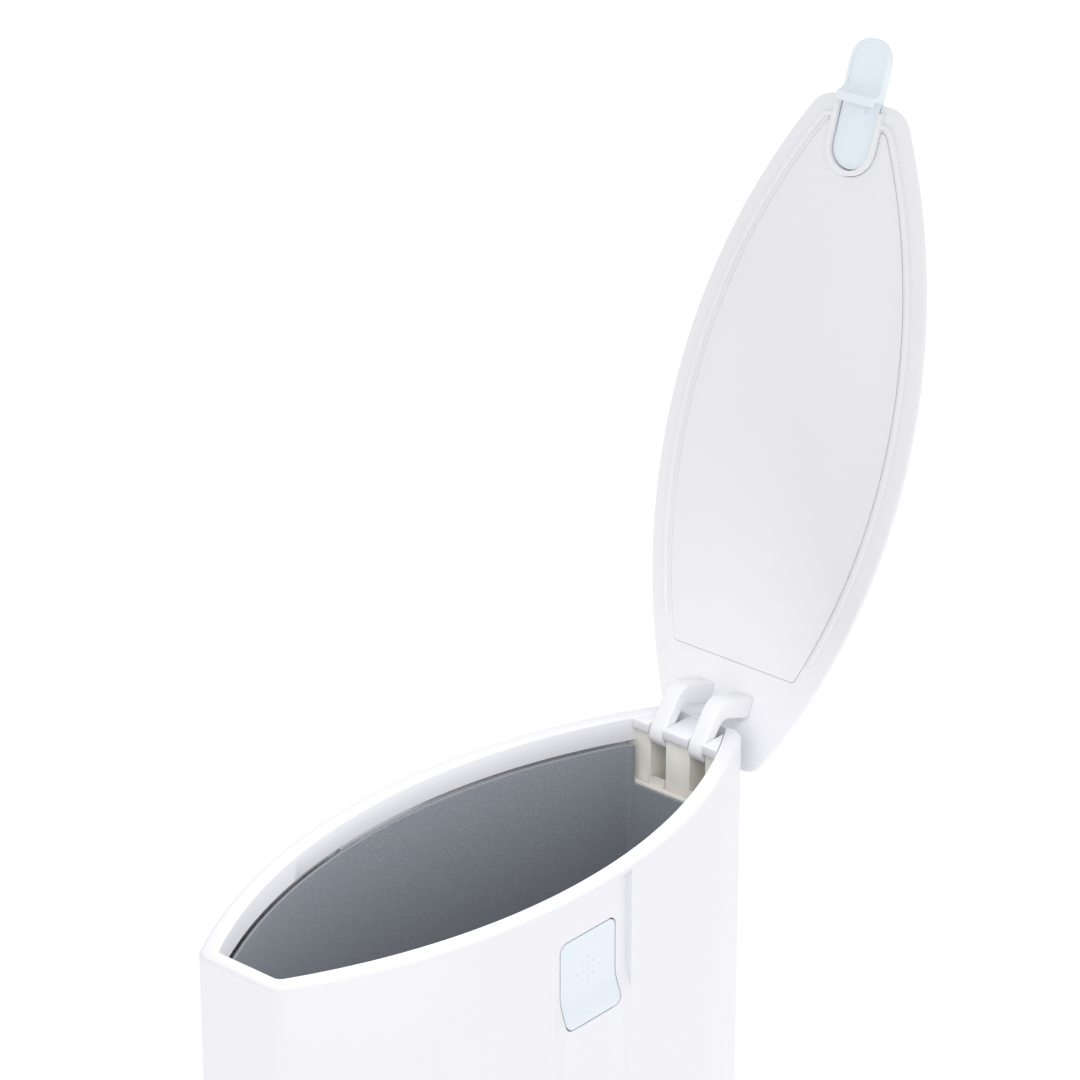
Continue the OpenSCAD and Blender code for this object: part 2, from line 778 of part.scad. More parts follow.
// A short coil of turns that touch, along X, with two straight legs
module coil(radius, half, leg) {
    turns = floor(2 * half / (2 * spring_wire));
    for (i = [0:turns - 1]) translate([-half + spring_wire + i * 1.9 * spring_wire, 0, 0]) rotate([0, 90, 0])
        rotate_extrude($fn = 24) translate([radius, 0]) circle(r = spring_wire, $fn = 14);
    translate([-half + spring_wire, 0, -radius]) rotate([90, 0, 0])
        cylinder(r = spring_wire, h = leg, $fn = 14);
}

module latch_spring() {
    color(steel) opened() translate([0, latch_pin_y, latch_pin_z]) coil(latch_coil, coil_half / 2, 2.6);
}

// Pedal
lever_mid = rod_right + 0.8 + lever_thick / 2;
lever_left = lever_mid - lever_thick / 2;
lever_right = lever_mid + lever_thick / 2;
slot_half = 0.7;
slot_play = 0.4;
tread_depth = 30;
tread_over = 2;
tread_round = 5;
tread_edge = 2;
tread_front = -half_length - tread_reach;
lever_tip = tread_front + 8;
lever_tail = rod_y + 8;

// Carries a level lever piece to the pressed place
module pressed() {
    translate([0, pedal_pivot_back, pedal_pivot_height]) rotate([pedal_half_angle, 0, 0])
        translate([0, -pedal_pivot_back, -pedal_pivot_height]) children();
}

module lever_bar(grow) {
    box([lever_left - grow, lever_tip - grow, pedal_pivot_height - lever_height / 2 - grow],
        [lever_right + grow, lever_tail, pedal_pivot_height + lever_height / 2 + grow]);
}

module pedal_lever() {
    color(steel) pressed() difference() {
        lever_bar(0);
        translate([0, pedal_pivot_back, pedal_pivot_height]) x_rod(pedal_pin_radius, -body_width, body_width);
        for (y = [-slot_half, slot_half]) translate([0, rod_y + y, pedal_pivot_height])
            x_rod(foot_pin_radius + slot_play, -body_width, body_width);
        translate([0, rod_y, pedal_pivot_height])
            box([lever_left - over, -slot_half, -foot_pin_radius - slot_play],
                [lever_right + over, slot_half, foot_pin_radius + slot_play]);
    }
}

module pedal_tread() {
    color(dark_rubber) pressed() difference() {
        translate([-tread_width / 2, tread_front, pedal_pivot_height])
            rotate([90, 0, 90]) linear_extrude(tread_width)
                hull() for (s = [-1, 1]) {
                    translate([tread_round, s * (lever_height / 2 + tread_over - tread_round)])
                        circle(r = tread_round, $fn = 32);
                    translate([tread_depth - tread_edge, s * (lever_height / 2 + tread_over - tread_edge)])
                        circle(r = tread_edge, $fn = 32);
                }
        lever_bar(run_fit);
    }
}

module rod_foot_pin() {
    color(steel) translate([0, rod_y, foot_pin_z]) x_rod(foot_pin_radius, rod_left - 0.6, lever_right + 0.8);
}

ear_thick = 2.5;
ear_gap = 0.6;
ear_radius = 10;

module pedal_pivot_pin() {
    color(steel) translate([0, pedal_pivot_back, pedal_pivot_height])
        x_rod(pedal_pin_radius, lever_left - ear_gap - ear_thick - 1, lever_right + ear_gap + ear_thick + 1);
}

module pedal_bracket() {
    color(steel) difference() {
        union() {
            box([lever_mid - bracket_half_x, pedal_pivot_back - bracket_half_y, bracket_seat],
                [lever_mid + bracket_half_x, pedal_pivot_back + bracket_half_y, bracket_seat + ear_thick]);
            for (x = [lever_left - ear_gap - ear_thick, lever_right + ear_gap]) {
                box([x, pedal_pivot_back - ear_radius, bracket_seat],
                    [x + ear_thick, pedal_pivot_back + ear_radius, pedal_pivot_height]);
                translate([0, pedal_pivot_back, pedal_pivot_height]) x_rod(ear_radius, x, x + ear_thick);
            }
        }
        translate([0, pedal_pivot_back, pedal_pivot_height])
            x_rod(pedal_pin_radius + run_fit, -body_width, body_width);
        for (sx = [-1, 1], sy = [-1, 1])
            translate([lever_mid + sx * bracket_screw_x, pedal_pivot_back + sy * bracket_screw_y, 0])
                cylinder(r = screw_radius + run_fit, h = bracket_seat + ear_thick + over);
    }
}

module bracket_screws() {
    color(steel) for (sx = [-1, 1], sy = [-1, 1])
        translate([lever_mid + sx * bracket_screw_x, pedal_pivot_back + sy * bracket_screw_y, 0]) {
            translate([0, 0, 2.2]) cylinder(r = screw_radius - tiny, h = bracket_seat + ear_thick - 2.2);
            translate([0, 0, bracket_seat + ear_thick]) cylinder(r = screw_head_radius, h = 2.2);
        }
}

// Side buttons: a plate that rocks in on a pin near its lower edge
module side_button() {
    color(ice_blue) difference() {
        union() {
            intersection() {
                side_plate(button_width, button_bottom, button_top, button_corner,
                    recess_face - button_thick, half_width);
                y_plate(2 * button_width,
                    concat(sweep_points(button_bottom - over, recess_bottom + sweep_height),
                        [[recess_face, button_top + over], [recess_face - button_thick, button_top + over],
                            [recess_face - button_thick, button_bottom - over]]));
            }
            for (s = [-1, 1]) translate([button_pin_x, s * button_knuckle_y, button_pin_z]) rotate([90, 0, 0])
                cylinder(r = button_knuckle_radius, h = button_knuckle_length, center = true);
            for (s = [-1, 1]) translate([0, s * button_knuckle_y, 0])
                box([button_pin_x, -button_knuckle_length / 2, button_pin_z - button_knuckle_radius],
                    [recess_face - button_thick + tiny, button_knuckle_length / 2,
                        button_pin_z + button_knuckle_radius]);
        }
        translate([button_pin_x, 0, button_pin_z]) rotate([90, 0, 0])
            cylinder(r = button_pin_radius, h = button_width, center = true);
    }
}

module button_pin() {
    color(steel) translate([button_pin_x, 0, button_pin_z]) rotate([90, 0, 0])
        cylinder(r = button_pin_radius, h = 2 * button_pin_half, center = true);
}

module button_spring(side) {
    color(steel) translate([side * button_pin_x, 0, button_pin_z]) rotate([0, 0, 90])
        coil(button_pin_radius + spring_wire + 0.2, coil_half / 2, 0.6);
}

module side_button_right() { side_button(); }
module side_button_left() { mirror([1, 0, 0]) side_button(); }
module button_pin_right() { button_pin(); }
module button_pin_left() { mirror([1, 0, 0]) button_pin(); }
module button_spring_right() { button_spring(1); }
module button_spring_left() { button_spring(-1); }

outer_body();
base_plate();
foot_pads();
base_screws();
inner_bucket();
hinge_housing();
housing_screws();
hinge_shaft();
hinge_arm_left();
hinge_arm_right();
arm_screws();
crank();
crank_pin();
push_rod();
rod_guide_upper();
rod_guide_lower();
guide_screws();
rod_foot_pin();
lid_shell();
lid_inner_panel();
latch_tab();
latch_pivot_pin();
latch_spring();
pedal_lever();
pedal_tread();
pedal_pivot_pin();
pedal_bracket();
bracket_screws();
side_button_left();
side_button_right();
button_pin_left();
button_pin_right();
button_spring_left();
button_spring_right();
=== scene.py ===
"""Slim ward pedal bin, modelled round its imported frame. Lengths in the settings are in metres."""

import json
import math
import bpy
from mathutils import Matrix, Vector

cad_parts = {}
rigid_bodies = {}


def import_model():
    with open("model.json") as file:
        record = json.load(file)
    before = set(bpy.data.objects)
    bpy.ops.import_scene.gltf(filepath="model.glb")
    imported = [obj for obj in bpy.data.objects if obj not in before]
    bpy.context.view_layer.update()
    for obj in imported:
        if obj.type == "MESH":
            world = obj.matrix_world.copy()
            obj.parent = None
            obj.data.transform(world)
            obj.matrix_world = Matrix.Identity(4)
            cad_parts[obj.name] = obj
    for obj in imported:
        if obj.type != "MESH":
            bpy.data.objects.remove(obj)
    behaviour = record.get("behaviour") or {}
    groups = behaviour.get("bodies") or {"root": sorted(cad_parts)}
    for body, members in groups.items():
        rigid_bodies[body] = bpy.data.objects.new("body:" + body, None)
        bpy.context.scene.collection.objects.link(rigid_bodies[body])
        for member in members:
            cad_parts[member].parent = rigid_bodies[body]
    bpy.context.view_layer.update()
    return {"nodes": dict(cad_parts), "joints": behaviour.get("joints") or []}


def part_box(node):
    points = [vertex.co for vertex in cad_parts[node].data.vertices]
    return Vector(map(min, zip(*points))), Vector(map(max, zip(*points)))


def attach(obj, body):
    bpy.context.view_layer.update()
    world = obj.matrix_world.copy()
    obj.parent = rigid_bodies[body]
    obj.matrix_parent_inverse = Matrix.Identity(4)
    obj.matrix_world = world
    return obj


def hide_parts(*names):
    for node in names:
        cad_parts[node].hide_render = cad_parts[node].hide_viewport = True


bl_info = {
    "name": "Slim Pedal Bin",
    "version": (1, 0, 0),
    "blender": (4, 5, 0),
    "location": "View3D > Sidebar > Pedal Bin",
    "description": "Builds the shell, lid, hinge, bucket, buttons and pedal of a slim pedal bin",
    "category": "Add Mesh",
}

import bmesh
import bpy
from bpy.props import FloatProperty, PointerProperty, StringProperty
from mathutils import Matrix, Vector

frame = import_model()

MM = 0.001

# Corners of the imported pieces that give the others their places
BODY_LOW, BODY_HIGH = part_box("outer_body")
BUCKET_LOW, BUCKET_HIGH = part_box("inner_bucket")
HOUSING_LOW, HOUSING_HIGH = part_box("hinge_housing")
BUTTON_LOW, BUTTON_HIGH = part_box("side_button_right")
JOINTS = {joint["name"]: joint for joint in frame["joints"]}
HINGE = Vector(JOINTS["lid_hinge"]["pos_m"])
OPEN_ANGLE = math.radians(-JOINTS["lid_hinge"]["range_deg"][0])


# ---------------------------------------------------------------- settings

class BinShellSettings(bpy.types.PropertyGroup):
    """Sizes of the outer shell and its rim"""
    end_width: FloatProperty(name="End width", description="Width of the end faces before rounding",
                             default=57.0 * MM, unit="LENGTH")
    front_corner: FloatProperty(name="Front corner", description="Corner radius at the front",
                                default=11 * MM, unit="LENGTH")
    rear_corner: FloatProperty(name="Rear corner", description="Corner radius at the rear",
                               default=13 * MM, unit="LENGTH")
    wall: FloatProperty(name="Wall", description="Thickness of the moulded wall",
                        default=3 * MM, unit="LENGTH")
    rim_width: FloatProperty(name="Rim width", description="Width of the flat rim",
                             default=10.5 * MM, unit="LENGTH")
    skirt_depth: FloatProperty(name="Skirt depth", description="Depth of the skirt inside the rim",
                               default=15 * MM, unit="LENGTH")
    rim_round: FloatProperty(name="Rim rounding", description="Radius of the rim's outer edge",
                             default=2.4 * MM, unit="LENGTH")
    bucket_gap: FloatProperty(name="Bucket gap", description="Gap between the skirt and the bucket",
                              default=1.2 * MM, unit="LENGTH")
    colour: StringProperty(name="Colour", description="sRGB hex colour of the white moulding",
                           default="F3F3F8")
    bucket_colour: StringProperty(name="Bucket colour", description="sRGB hex colour of the bucket",
                                  default="878C93")


class BinLidSettings(bpy.types.PropertyGroup):
    """Sizes of the lid and its latch"""
    side_over: FloatProperty(name="Side overhang", description="Overhang at the sides",
                             default=2.5 * MM, unit="LENGTH")
    front_over: FloatProperty(name="Front overhang", description="Overhang at the front",
                              default=3 * MM, unit="LENGTH")
    front_corner: FloatProperty(name="Front corner", description="Corner radius at the tip",
                                default=18 * MM, unit="LENGTH")
    edge: FloatProperty(name="Edge", description="Thickness of the lid at its edge",
                        default=3.4 * MM, unit="LENGTH")
    crown: FloatProperty(name="Crown", description="Rise of the crown above the edge",
                         default=6 * MM, unit="LENGTH")
    bead: FloatProperty(name="Bead", description="Height of the bead under the lid",
                        default=2.6 * MM, unit="LENGTH")
    bead_inset: FloatProperty(name="Bead inset",
                              description="Distance of the bead inside the body's face",
                              default=7 * MM, unit="LENGTH")
    bead_width: FloatProperty(name="Bead width", description="Width of the bead",
                              default=3.6 * MM, unit="LENGTH")
    bead_rear: FloatProperty(name="Bead rear",
                             description="Distance of the bead's ends from the rear face",
                             default=75 * MM, unit="LENGTH")
    panel_inset: FloatProperty(name="Panel inset",
                               description="Distance of the panel inside the body's face",
                               default=12.4 * MM, unit="LENGTH")
    panel_rear: FloatProperty(name="Panel rear",
                              description="Distance of the panel's edge from the rear face",
                              default=61 * MM, unit="LENGTH")
    panel_thick: FloatProperty(name="Panel thickness", description="Thickness of the panel",
                               default=1.6 * MM, unit="LENGTH")
    colour: StringProperty(name="Colour", description="sRGB hex colour of the lid", default="F1F1F5")
    tab_colour: StringProperty(name="Tab colour", description="sRGB hex colour of the tab and buttons",
                               default="EBF4FB")


class BinStageSettings(bpy.types.PropertyGroup):
    """Camera, floor and light"""
    azimuth: FloatProperty(name="Azimuth", description="Direction the camera looks from",
                           default=math.radians(41.08), subtype="ANGLE")
    elevation: FloatProperty(name="Elevation", description="Height of the camera above the horizon",
                             default=math.radians(24.98), subtype="ANGLE")
    distance: FloatProperty(name="Distance", description="Distance of the camera",
                            default=2.736, unit="LENGTH")
    shift_right: FloatProperty(name="Shift right",
                               description="Camera's shift to the right of the rim's middle",
                               default=30.4 * MM, unit="LENGTH")
    shift_up: FloatProperty(name="Shift up", description="Camera's shift above the rim's middle",
                            default=167.8 * MM, unit="LENGTH")
    lens: FloatProperty(name="Lens", description="Focal length in millimetres", default=160.9)
    room_light: FloatProperty(name="Room light", description="Strength of the even light of the room",
                              default=0.86)
    key_light: FloatProperty(name="Key light", description="Power of the wide lamp in watts",
                             default=6.0)
    mouth_light: FloatProperty(name="Mouth light",
                               description="Power of the strip over the mouth in watts",
                               default=0.2)


def shell_settings():
    return bpy.context.scene.bin_shell


def lid_settings():
    return bpy.context.scene.bin_lid


# ---------------------------------------------------------------- plan of the body

ARC_STEPS = 72
CORNER_STEPS = 8
QUARTER_STEPS = 4
MOUTH_CORNER = 5 * MM
LEAST_CORNER = 3 * MM
HALF_LENGTH = (BODY_HIGH.y - BODY_LOW.y) / 2
HALF_WIDTH = (BODY_HIGH.x - BODY_LOW.x) / 2
RIM_Z = BODY_HIGH.z


def side_radius():
    bulge = HALF_WIDTH - shell_settings().end_width / 2
    return (HALF_LENGTH ** 2 + bulge ** 2) / (2 * bulge)


def side_x(inset, y):
    """Half width of the body at y, to a surface that lies inset inside the side."""
    radius = side_radius()
    return math.sqrt((radius - inset) ** 2 - y * y) - (radius - HALF_WIDTH)


def spin_on(bm, vert, centre, angle, steps):
    """Spins one vertex about a vertical axis and gives the last vertex made."""
    made = bmesh.ops.spin(bm, geom=[vert], cent=centre, axis=(0, 0, 1), dvec=(0, 0, 0),
                          angle=angle, steps=steps, use_merge=False, use_duplicate=False)
    return [g for g in made["geom_last"] if isinstance(g, bmesh.types.BMVert)][0]


def plan_loop(bm, z, inset, front, rear, front_round, rear_round):
    """Draws a closed outline of the body's shape at height z, and gives its edges."""
    before = set(bm.edges)
    old = set(bm.verts)
    arc_centre = HALF_WIDTH - side_radius()
    front_x = side_x(inset + front_round, front - front_round)
    rear_x = side_x(inset + rear_round, rear - rear_round)
    front_angle = math.atan2(front_round - front, front_x - arc_centre)
    rear_angle = math.atan2(rear - rear_round, rear_x - arc_centre)
    first = bm.verts.new((front_x, -front, z))
    vert = spin_on(bm, first, (front_x, front_round - front, z), math.pi / 2 + front_angle, CORNER_STEPS)
    vert = spin_on(bm, vert, (arc_centre, 0, z), rear_angle - front_angle, ARC_STEPS)
    last = spin_on(bm, vert, (rear_x, rear - rear_round, z), math.pi / 2 - rear_angle, CORNER_STEPS)
    half = [v for v in bm.verts if v not in old]
    half_edges = [e for e in bm.edges if e not in before]
    made = bmesh.ops.mirror(bm, geom=half + half_edges, matrix=Matrix.Identity(4), merge_dist=-1, axis="X")
    mirrored = [g for g in made["geom"] if isinstance(g, bmesh.types.BMVert)]
    for end in (first, last):
        twin = min(mirrored, key=lambda v: (v.co - Vector((-end.co.x, end.co.y, end.co.z))).length)
        bm.edges.new((end, twin))
    return [e for e in bm.edges if e not in before]


def stack(bm, layers, closed=False, cap_first=False, cap_last=False):
    """Joins a list of outlines into one skin, each a tuple of plan_loop's values."""
    rings = [plan_loop(bm, *layer) for layer in layers]
    for low, high in zip(rings, rings[1:]):
        bmesh.ops.bridge_loops(bm, edges=low + high)
    if closed:
        bmesh.ops.bridge_loops(bm, edges=rings[-1] + rings[0])
    if cap_first:
        bmesh.ops.contextual_create(bm, geom=rings[0])
    if cap_last:
        bmesh.ops.contextual_create(bm, geom=rings[-1])


def shell_layer(z, inset, rear_inset=None):
    """An outline that keeps its distance inside every face of the body."""
    shell = shell_settings()
    rear = inset if rear_inset is None else rear_inset
    return (z, inset, HALF_LENGTH - inset, HALF_LENGTH - rear,
            max(shell.front_corner - inset, MM), max(shell.rear_corner - inset, MM))


def mouth_layer(z, out=0.0):
    """An outline of the opening inside the rim, grown outwards by out."""
    shell = shell_settings()
    return (z, shell.rim_width - out, HALF_LENGTH - shell.rim_width + out,
            HALF_LENGTH - shell.wall, MOUTH_CORNER + out, MM)


# ---------------------------------------------------------------- mesh helpers

SEAM = 0.005 * MM


def box_mesh(low, high):
    """A box between two corners."""
    low, high = Vector(low), Vector(high)
    bm = bmesh.new()
    made = bmesh.ops.create_cube(bm, size=1.0)
    bmesh.ops.scale(bm, vec=high - low, verts=made["verts"])
    bmesh.ops.translate(bm, vec=(low + high) / 2, verts=made["verts"])
    return bm


AXIS_TURNS = {
    "X": Matrix.Rotation(math.pi / 2, 4, "Y"),
    "Y": Matrix.Rotation(math.pi / 2, 4, "X"),
    "Z": Matrix.Identity(4),
}


def rod_mesh(radius, depth, centres, axis, segments=32):
    """Cylinders along an axis, one about each centre."""
    bm = bmesh.new()
    for centre in centres:
        bmesh.ops.create_cone(bm, cap_ends=True, segments=segments, radius1=radius, radius2=radius,
                              depth=depth, matrix=Matrix.Translation(centre) @ AXIS_TURNS[axis])
    return bm


def push_up(bm, step):
    """Gives a flat face its thickness, and turns every face outwards."""
    made = bmesh.ops.extrude_face_region(bm, geom=bm.faces[:])
    moved = [g for g in made["geom"] if isinstance(g, bmesh.types.BMVert)]
    bmesh.ops.translate(bm, vec=step, verts=moved)
    bmesh.ops.recalc_face_normals(bm, faces=bm.faces[:])


def bevel_corners(bm, verts, width):
    """Rounds the corners of a flat face."""
    bmesh.ops.bevel(bm, geom=verts, offset=width, offset_type="OFFSET", segments=6, profile=0.5,
                    affect="VERTICES", clamp_overlap=True, material=-1)


def profile_plate(points, rounds, low, high, axis="X"):
    """A flat plate pushed out of a profile in the plane across axis, with each corner given its radius."""
    bm = bmesh.new()
    places = {"X": lambda a, b: (low, a, b),
              "Y": lambda a, b: (a, low, b),
              "Z": lambda a, b: (a, b, low)}[axis]
    verts = [bm.verts.new(places(a, b)) for a, b in points]
    bm.faces.new(verts)
    for radius in sorted(set(rounds)):
        if radius > 0:
            bm.verts.ensure_lookup_table()
            chosen = [v for v, r in zip(verts, rounds) if r == radius and v.is_valid]
            bevel_corners(bm, chosen, radius)
    push_up(bm, {"X": (high - low, 0, 0), "Y": (0, high - low, 0), "Z": (0, 0, high - low)}[axis])
    return bm


def rounded_plate(width, height, corner, low, high, centre=(0.0, 0.0), axis="X"):
    """A plate with a rounded rectangle for its outline."""
    a, b = centre
    w, h = width / 2, height / 2
    points = [(a - w, b - h), (a + w, b - h), (a + w, b + h), (a - w, b + h)]
    return profile_plate(points, [corner] * 4, low, high, axis)


def smooth_faces(mesh, degrees=30):
    mesh.polygons.foreach_set("use_smooth", [True] * len(mesh.polygons))
    mesh.set_sharp_from_angle(angle=math.radians(degrees))


def finish_mesh(bm, name):
    """Turns a bmesh into an object at the origin, with closed seams and outward faces."""
    bmesh.ops.remove_doubles(bm, verts=bm.verts[:], dist=SEAM)
    bmesh.ops.recalc_face_normals(bm, faces=bm.faces[:])
    mesh = bpy.data.meshes.new(name)
    bm.to_mesh(mesh)
    bm.free()
    obj = bpy.data.objects.new(name, mesh)
    bpy.context.scene.collection.objects.link(obj)
    return obj


def boolean(obj, tool_bm, operation):
    """Cuts or joins a bmesh with an object, and applies the result to its mesh."""
    tool = finish_mesh(tool_bm, "tool")
    modifier = obj.modifiers.new("cut", "BOOLEAN")
    modifier.operation = operation
    modifier.solver = "EXACT"
    modifier.object = tool
    apply_modifiers(obj)
    tool_mesh = tool.data
    bpy.data.objects.remove(tool)
    bpy.data.meshes.remove(tool_mesh)


def apply_modifiers(obj):
    graph = bpy.context.evaluated_depsgraph_get()
    graph.update()
    made = bpy.data.meshes.new_from_object(obj.evaluated_get(graph))
    old = obj.data
    obj.modifiers.clear()
    obj.data = made
    made.name = obj.name
    bpy.data.meshes.remove(old)


def round_edges(obj, width, segments=2, degrees=40, smooth=32):
    """Rounds the crisp edges of a moulded piece and applies the result."""
    modifier = obj.modifiers.new("edge", "BEVEL")
    modifier.width = width
    modifier.segments = segments
    modifier.limit_method = "ANGLE"
    modifier.angle_limit = math.radians(degrees)
    modifier.use_clamp_overlap = True
    modifier.miter_outer = "MITER_ARC"
    apply_modifiers(obj)
    bm = bmesh.new()
    bm.from_mesh(obj.data)
    bmesh.ops.remove_doubles(bm, verts=bm.verts[:], dist=2 * SEAM)
    bmesh.ops.dissolve_degenerate(bm, edges=bm.edges[:], dist=2 * SEAM)
    bm.to_mesh(obj.data)
    bm.free()
    smooth_faces(obj.data, smooth)


def take_mesh(obj):
    """Takes an object's mesh back as a bmesh, and removes the object."""
    bm = bmesh.new()
    bm.from_mesh(obj.data)
    bpy.data.objects.remove(obj)
    return bm


def turn_about(obj, pivot, angle):
    """Turns a piece about an axis along X through the pivot."""
    turn = Matrix.Translation(pivot) @ Matrix.Rotation(angle, 4, "X") @ Matrix.Translation(-pivot)
    obj.data.transform(turn)


def open_object(obj):
    """Carries a piece drawn on the closed lid to the open place."""
    turn_about(obj, HINGE, -OPEN_ANGLE)


def place(obj, body, slot, material, *nodes):
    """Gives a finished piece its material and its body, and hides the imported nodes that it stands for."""
    obj.data.materials.clear()
    obj.data.materials.append(material)
    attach(obj, body)
    if nodes:
        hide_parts(*nodes)


# ---------------------------------------------------------------- materials

def linear(hex_colour):
    """An sRGB hex colour as linear values with full alpha."""
    values = [int(hex_colour[i:i + 2], 16) / 255 for i in (0, 2, 4)]
    return tuple(v / 12.92 if v <= 0.04045 else ((v + 0.055) / 1.055) ** 2.4 for v in values) + (1.0,)


def add_node(tree, kind, links=(), **settings):
    """Adds a shader node. Settings name its inputs or its properties, and links are (input, output) pairs."""
    node = tree.nodes.new(kind)
    for key, value in settings.items():
        label = key.replace("_", " ")
        if hasattr(node, key) and key not in node.inputs:
            setattr(node, key, value)
        else:
            socket = next(s for s in node.inputs if s.name.lower() == label.lower())
            socket.default_value = value
    for target, source in links:
        tree.links.new(node.inputs[target], source)
    return node


def new_material(name):
    material = bpy.data.materials.new(name)
    material.use_nodes = True
    material.node_tree.nodes.clear()
    return material


def finish_material(tree, shader):
    add_node(tree, "ShaderNodeOutputMaterial", links=[("Surface", shader.outputs[0])])


def object_place(tree):
    return add_node(tree, "ShaderNodeTexCoord").outputs["Object"]


def noise(tree, vector, scale, detail=2.0):
    node = add_node(tree, "ShaderNodeTexNoise", links=[("Vector", vector)], Scale=scale, Detail=detail)
    return node.outputs["Fac"]


def bump(tree, height, strength, depth):
    """Raises the surface by a height, and gives the new normal."""
    node = add_node(tree, "ShaderNodeBump", links=[("Height", height)], Strength=strength, Distance=depth)
    return node.outputs[0]


def spread(tree, value, low, high):
    """Spreads a value from 0 to 1 over low to high."""
    ramp = add_node(tree, "ShaderNodeMapRange", links=[("Value", value)], To_Min=low, To_Max=high)
    return ramp.outputs[0]


def blend(tree, factor, first, second):
    """Blends two colours by a factor, and gives the blended colour."""
    mix = add_node(tree, "ShaderNodeMix", data_type="RGBA")
    tree.links.new(mix.inputs[0], factor)
    mix.inputs[6].default_value = first
    mix.inputs[7].default_value = second
    return mix.outputs[2]


def shaded(base, factor):
    """A linear colour made darker or lighter by a factor."""
    return tuple(min(1.0, c * factor) for c in base[:3]) + (1.0,)


def moulded_plastic(name, colour, roughness, grain, depth, mottle=0.02, coat=0.0):
    """Injection-moulded plastic: an even colour, a faint flow mottle and the mould's fine spark texture."""
    material = new_material(name)
    tree = material.node_tree
    where = object_place(tree)
    # Flow mottle about 60 mm across, far weaker than the colour itself
    flow = noise(tree, where, 16.0, 3.0)
    base = linear(colour)
    spark = noise(tree, where, 1.0 / grain)
    shader = add_node(tree, "ShaderNodeBsdfPrincipled", links=[
        ("Base Color", blend(tree, flow, shaded(base, 1 - mottle), base)),
        ("Normal", bump(tree, spark, 0.35, depth)),
        ("Roughness", spread(tree, flow, roughness - 0.04, roughness + 0.04))], IOR=1.53)
    shader.inputs["Coat Weight"].default_value = coat
    finish_material(tree, shader)
    return material


def speckled_polypropylene(name, colour, light_colour):
    """Grey polypropylene with light pigment flecks about 1 mm apart."""
    material = new_material(name)
    tree = material.node_tree
    where = object_place(tree)
    fleck = add_node(tree, "ShaderNodeTexVoronoi", links=[("Vector", where)], Scale=900.0)
    cut = add_node(tree, "ShaderNodeMapRange", links=[("Value", fleck.outputs["Distance"])],
                   From_Min=0.05, From_Max=0.32, To_Min=1.0, To_Max=0.0)
    shader = add_node(tree, "ShaderNodeBsdfPrincipled", links=[
        ("Base Color", blend(tree, cut.outputs[0], linear(colour), linear(light_colour))),
        ("Normal", bump(tree, noise(tree, where, 1200.0), 0.4, 0.15 * MM))], Roughness=0.5, IOR=1.49)
    finish_material(tree, shader)
    return material


def plated_steel(name, colour, roughness, grain_scale):
    """Zinc-plated or ground steel: a bright metal with a fine drawn grain."""
    material = new_material(name)
    tree = material.node_tree
    stretch = add_node(tree, "ShaderNodeMapping", links=[("Vector", object_place(tree))])
    stretch.inputs["Scale"].default_value = (grain_scale, grain_scale * 0.06, grain_scale)
    grain = noise(tree, stretch.outputs[0], 1.0, 4.0)
    shader = add_node(tree, "ShaderNodeBsdfPrincipled", links=[
        ("Normal", bump(tree, grain, 0.3, 0.05 * MM)),
        ("Roughness", spread(tree, grain, roughness - 0.08, roughness + 0.1))], Metallic=1.0)
    shader.inputs["Base Color"].default_value = linear(colour)
    finish_material(tree, shader)
    return material


def moulded_rubber(name, colour):
    """Moulded nitrile rubber: near black, dull, with a dusty fine grain."""
    material = new_material(name)
    tree = material.node_tree
    where = object_place(tree)
    base = linear(colour)
    dust = blend(tree, noise(tree, where, 90.0, 5.0), base, shaded(base, 2.45))
    shader = add_node(tree, "ShaderNodeBsdfPrincipled", links=[
        ("Base Color", dust), ("Normal", bump(tree, noise(tree, where, 1500.0), 0.5, 0.1 * MM))],
        Roughness=0.72, IOR=1.52)
    finish_material(tree, shader)
    return material


MATERIALS = {}


def material(name):
    """The material of that name, made once."""
    if name not in MATERIALS:
        shell, lid = shell_settings(), lid_settings()
        makers = {
            "moulded_abs_body": lambda n: moulded_plastic(n, shell.colour, 0.36, 1.1 * MM, 0.03 * MM,
                                                          coat=0.15),
            "moulded_abs_lid": lambda n: moulded_plastic(n, lid.colour, 0.38, 1.1 * MM, 0.03 * MM, coat=0.1),
            "moulded_abs_hinge": lambda n: moulded_plastic(n, "F1EEE6", 0.45, 1.0 * MM, 0.04 * MM),
            "moulded_abs_base": lambda n: moulded_plastic(n, "DEDDD8", 0.5, 1.2 * MM, 0.05 * MM),
            "moulded_abs_ice": lambda n: moulded_plastic(n, lid.tab_colour, 0.3, 1.4 * MM, 0.02 * MM,
                                                         mottle=0.015, coat=0.25),
            "speckled_polypropylene": lambda n: speckled_polypropylene(n, shell.bucket_colour, "B4B9BF"),
            "zinc_plated_steel": lambda n: plated_steel(n, "B9BCC0", 0.32, 2500.0),
            "ground_steel": lambda n: plated_steel(n, "C9CACC", 0.22, 4000.0),
            "drawn_spring_wire": lambda n: plated_steel(n, "9C9DA0", 0.28, 5000.0),
            "moulded_nitrile": lambda n: moulded_rubber(n, "222224"),
        }
        MATERIALS[name] = makers[name](name)
    return MATERIALS[name]


# ---------------------------------------------------------------- outer body

RECESS_WIDTH = 66 * MM
RECESS_DEPTH = 5.6 * MM
RECESS_HEIGHT = 88 * MM
RECESS_LIP = 3.3 * MM
RECESS_FLOOR = 2.4 * MM
RECESS_SWEEP = 25 * MM
SWEEP_STEPS = 12
BUTTON_GAP = 0.9 * MM
BUTTON_CORNER = 5.5 * MM
RECESS_FACE = HALF_WIDTH - RECESS_DEPTH
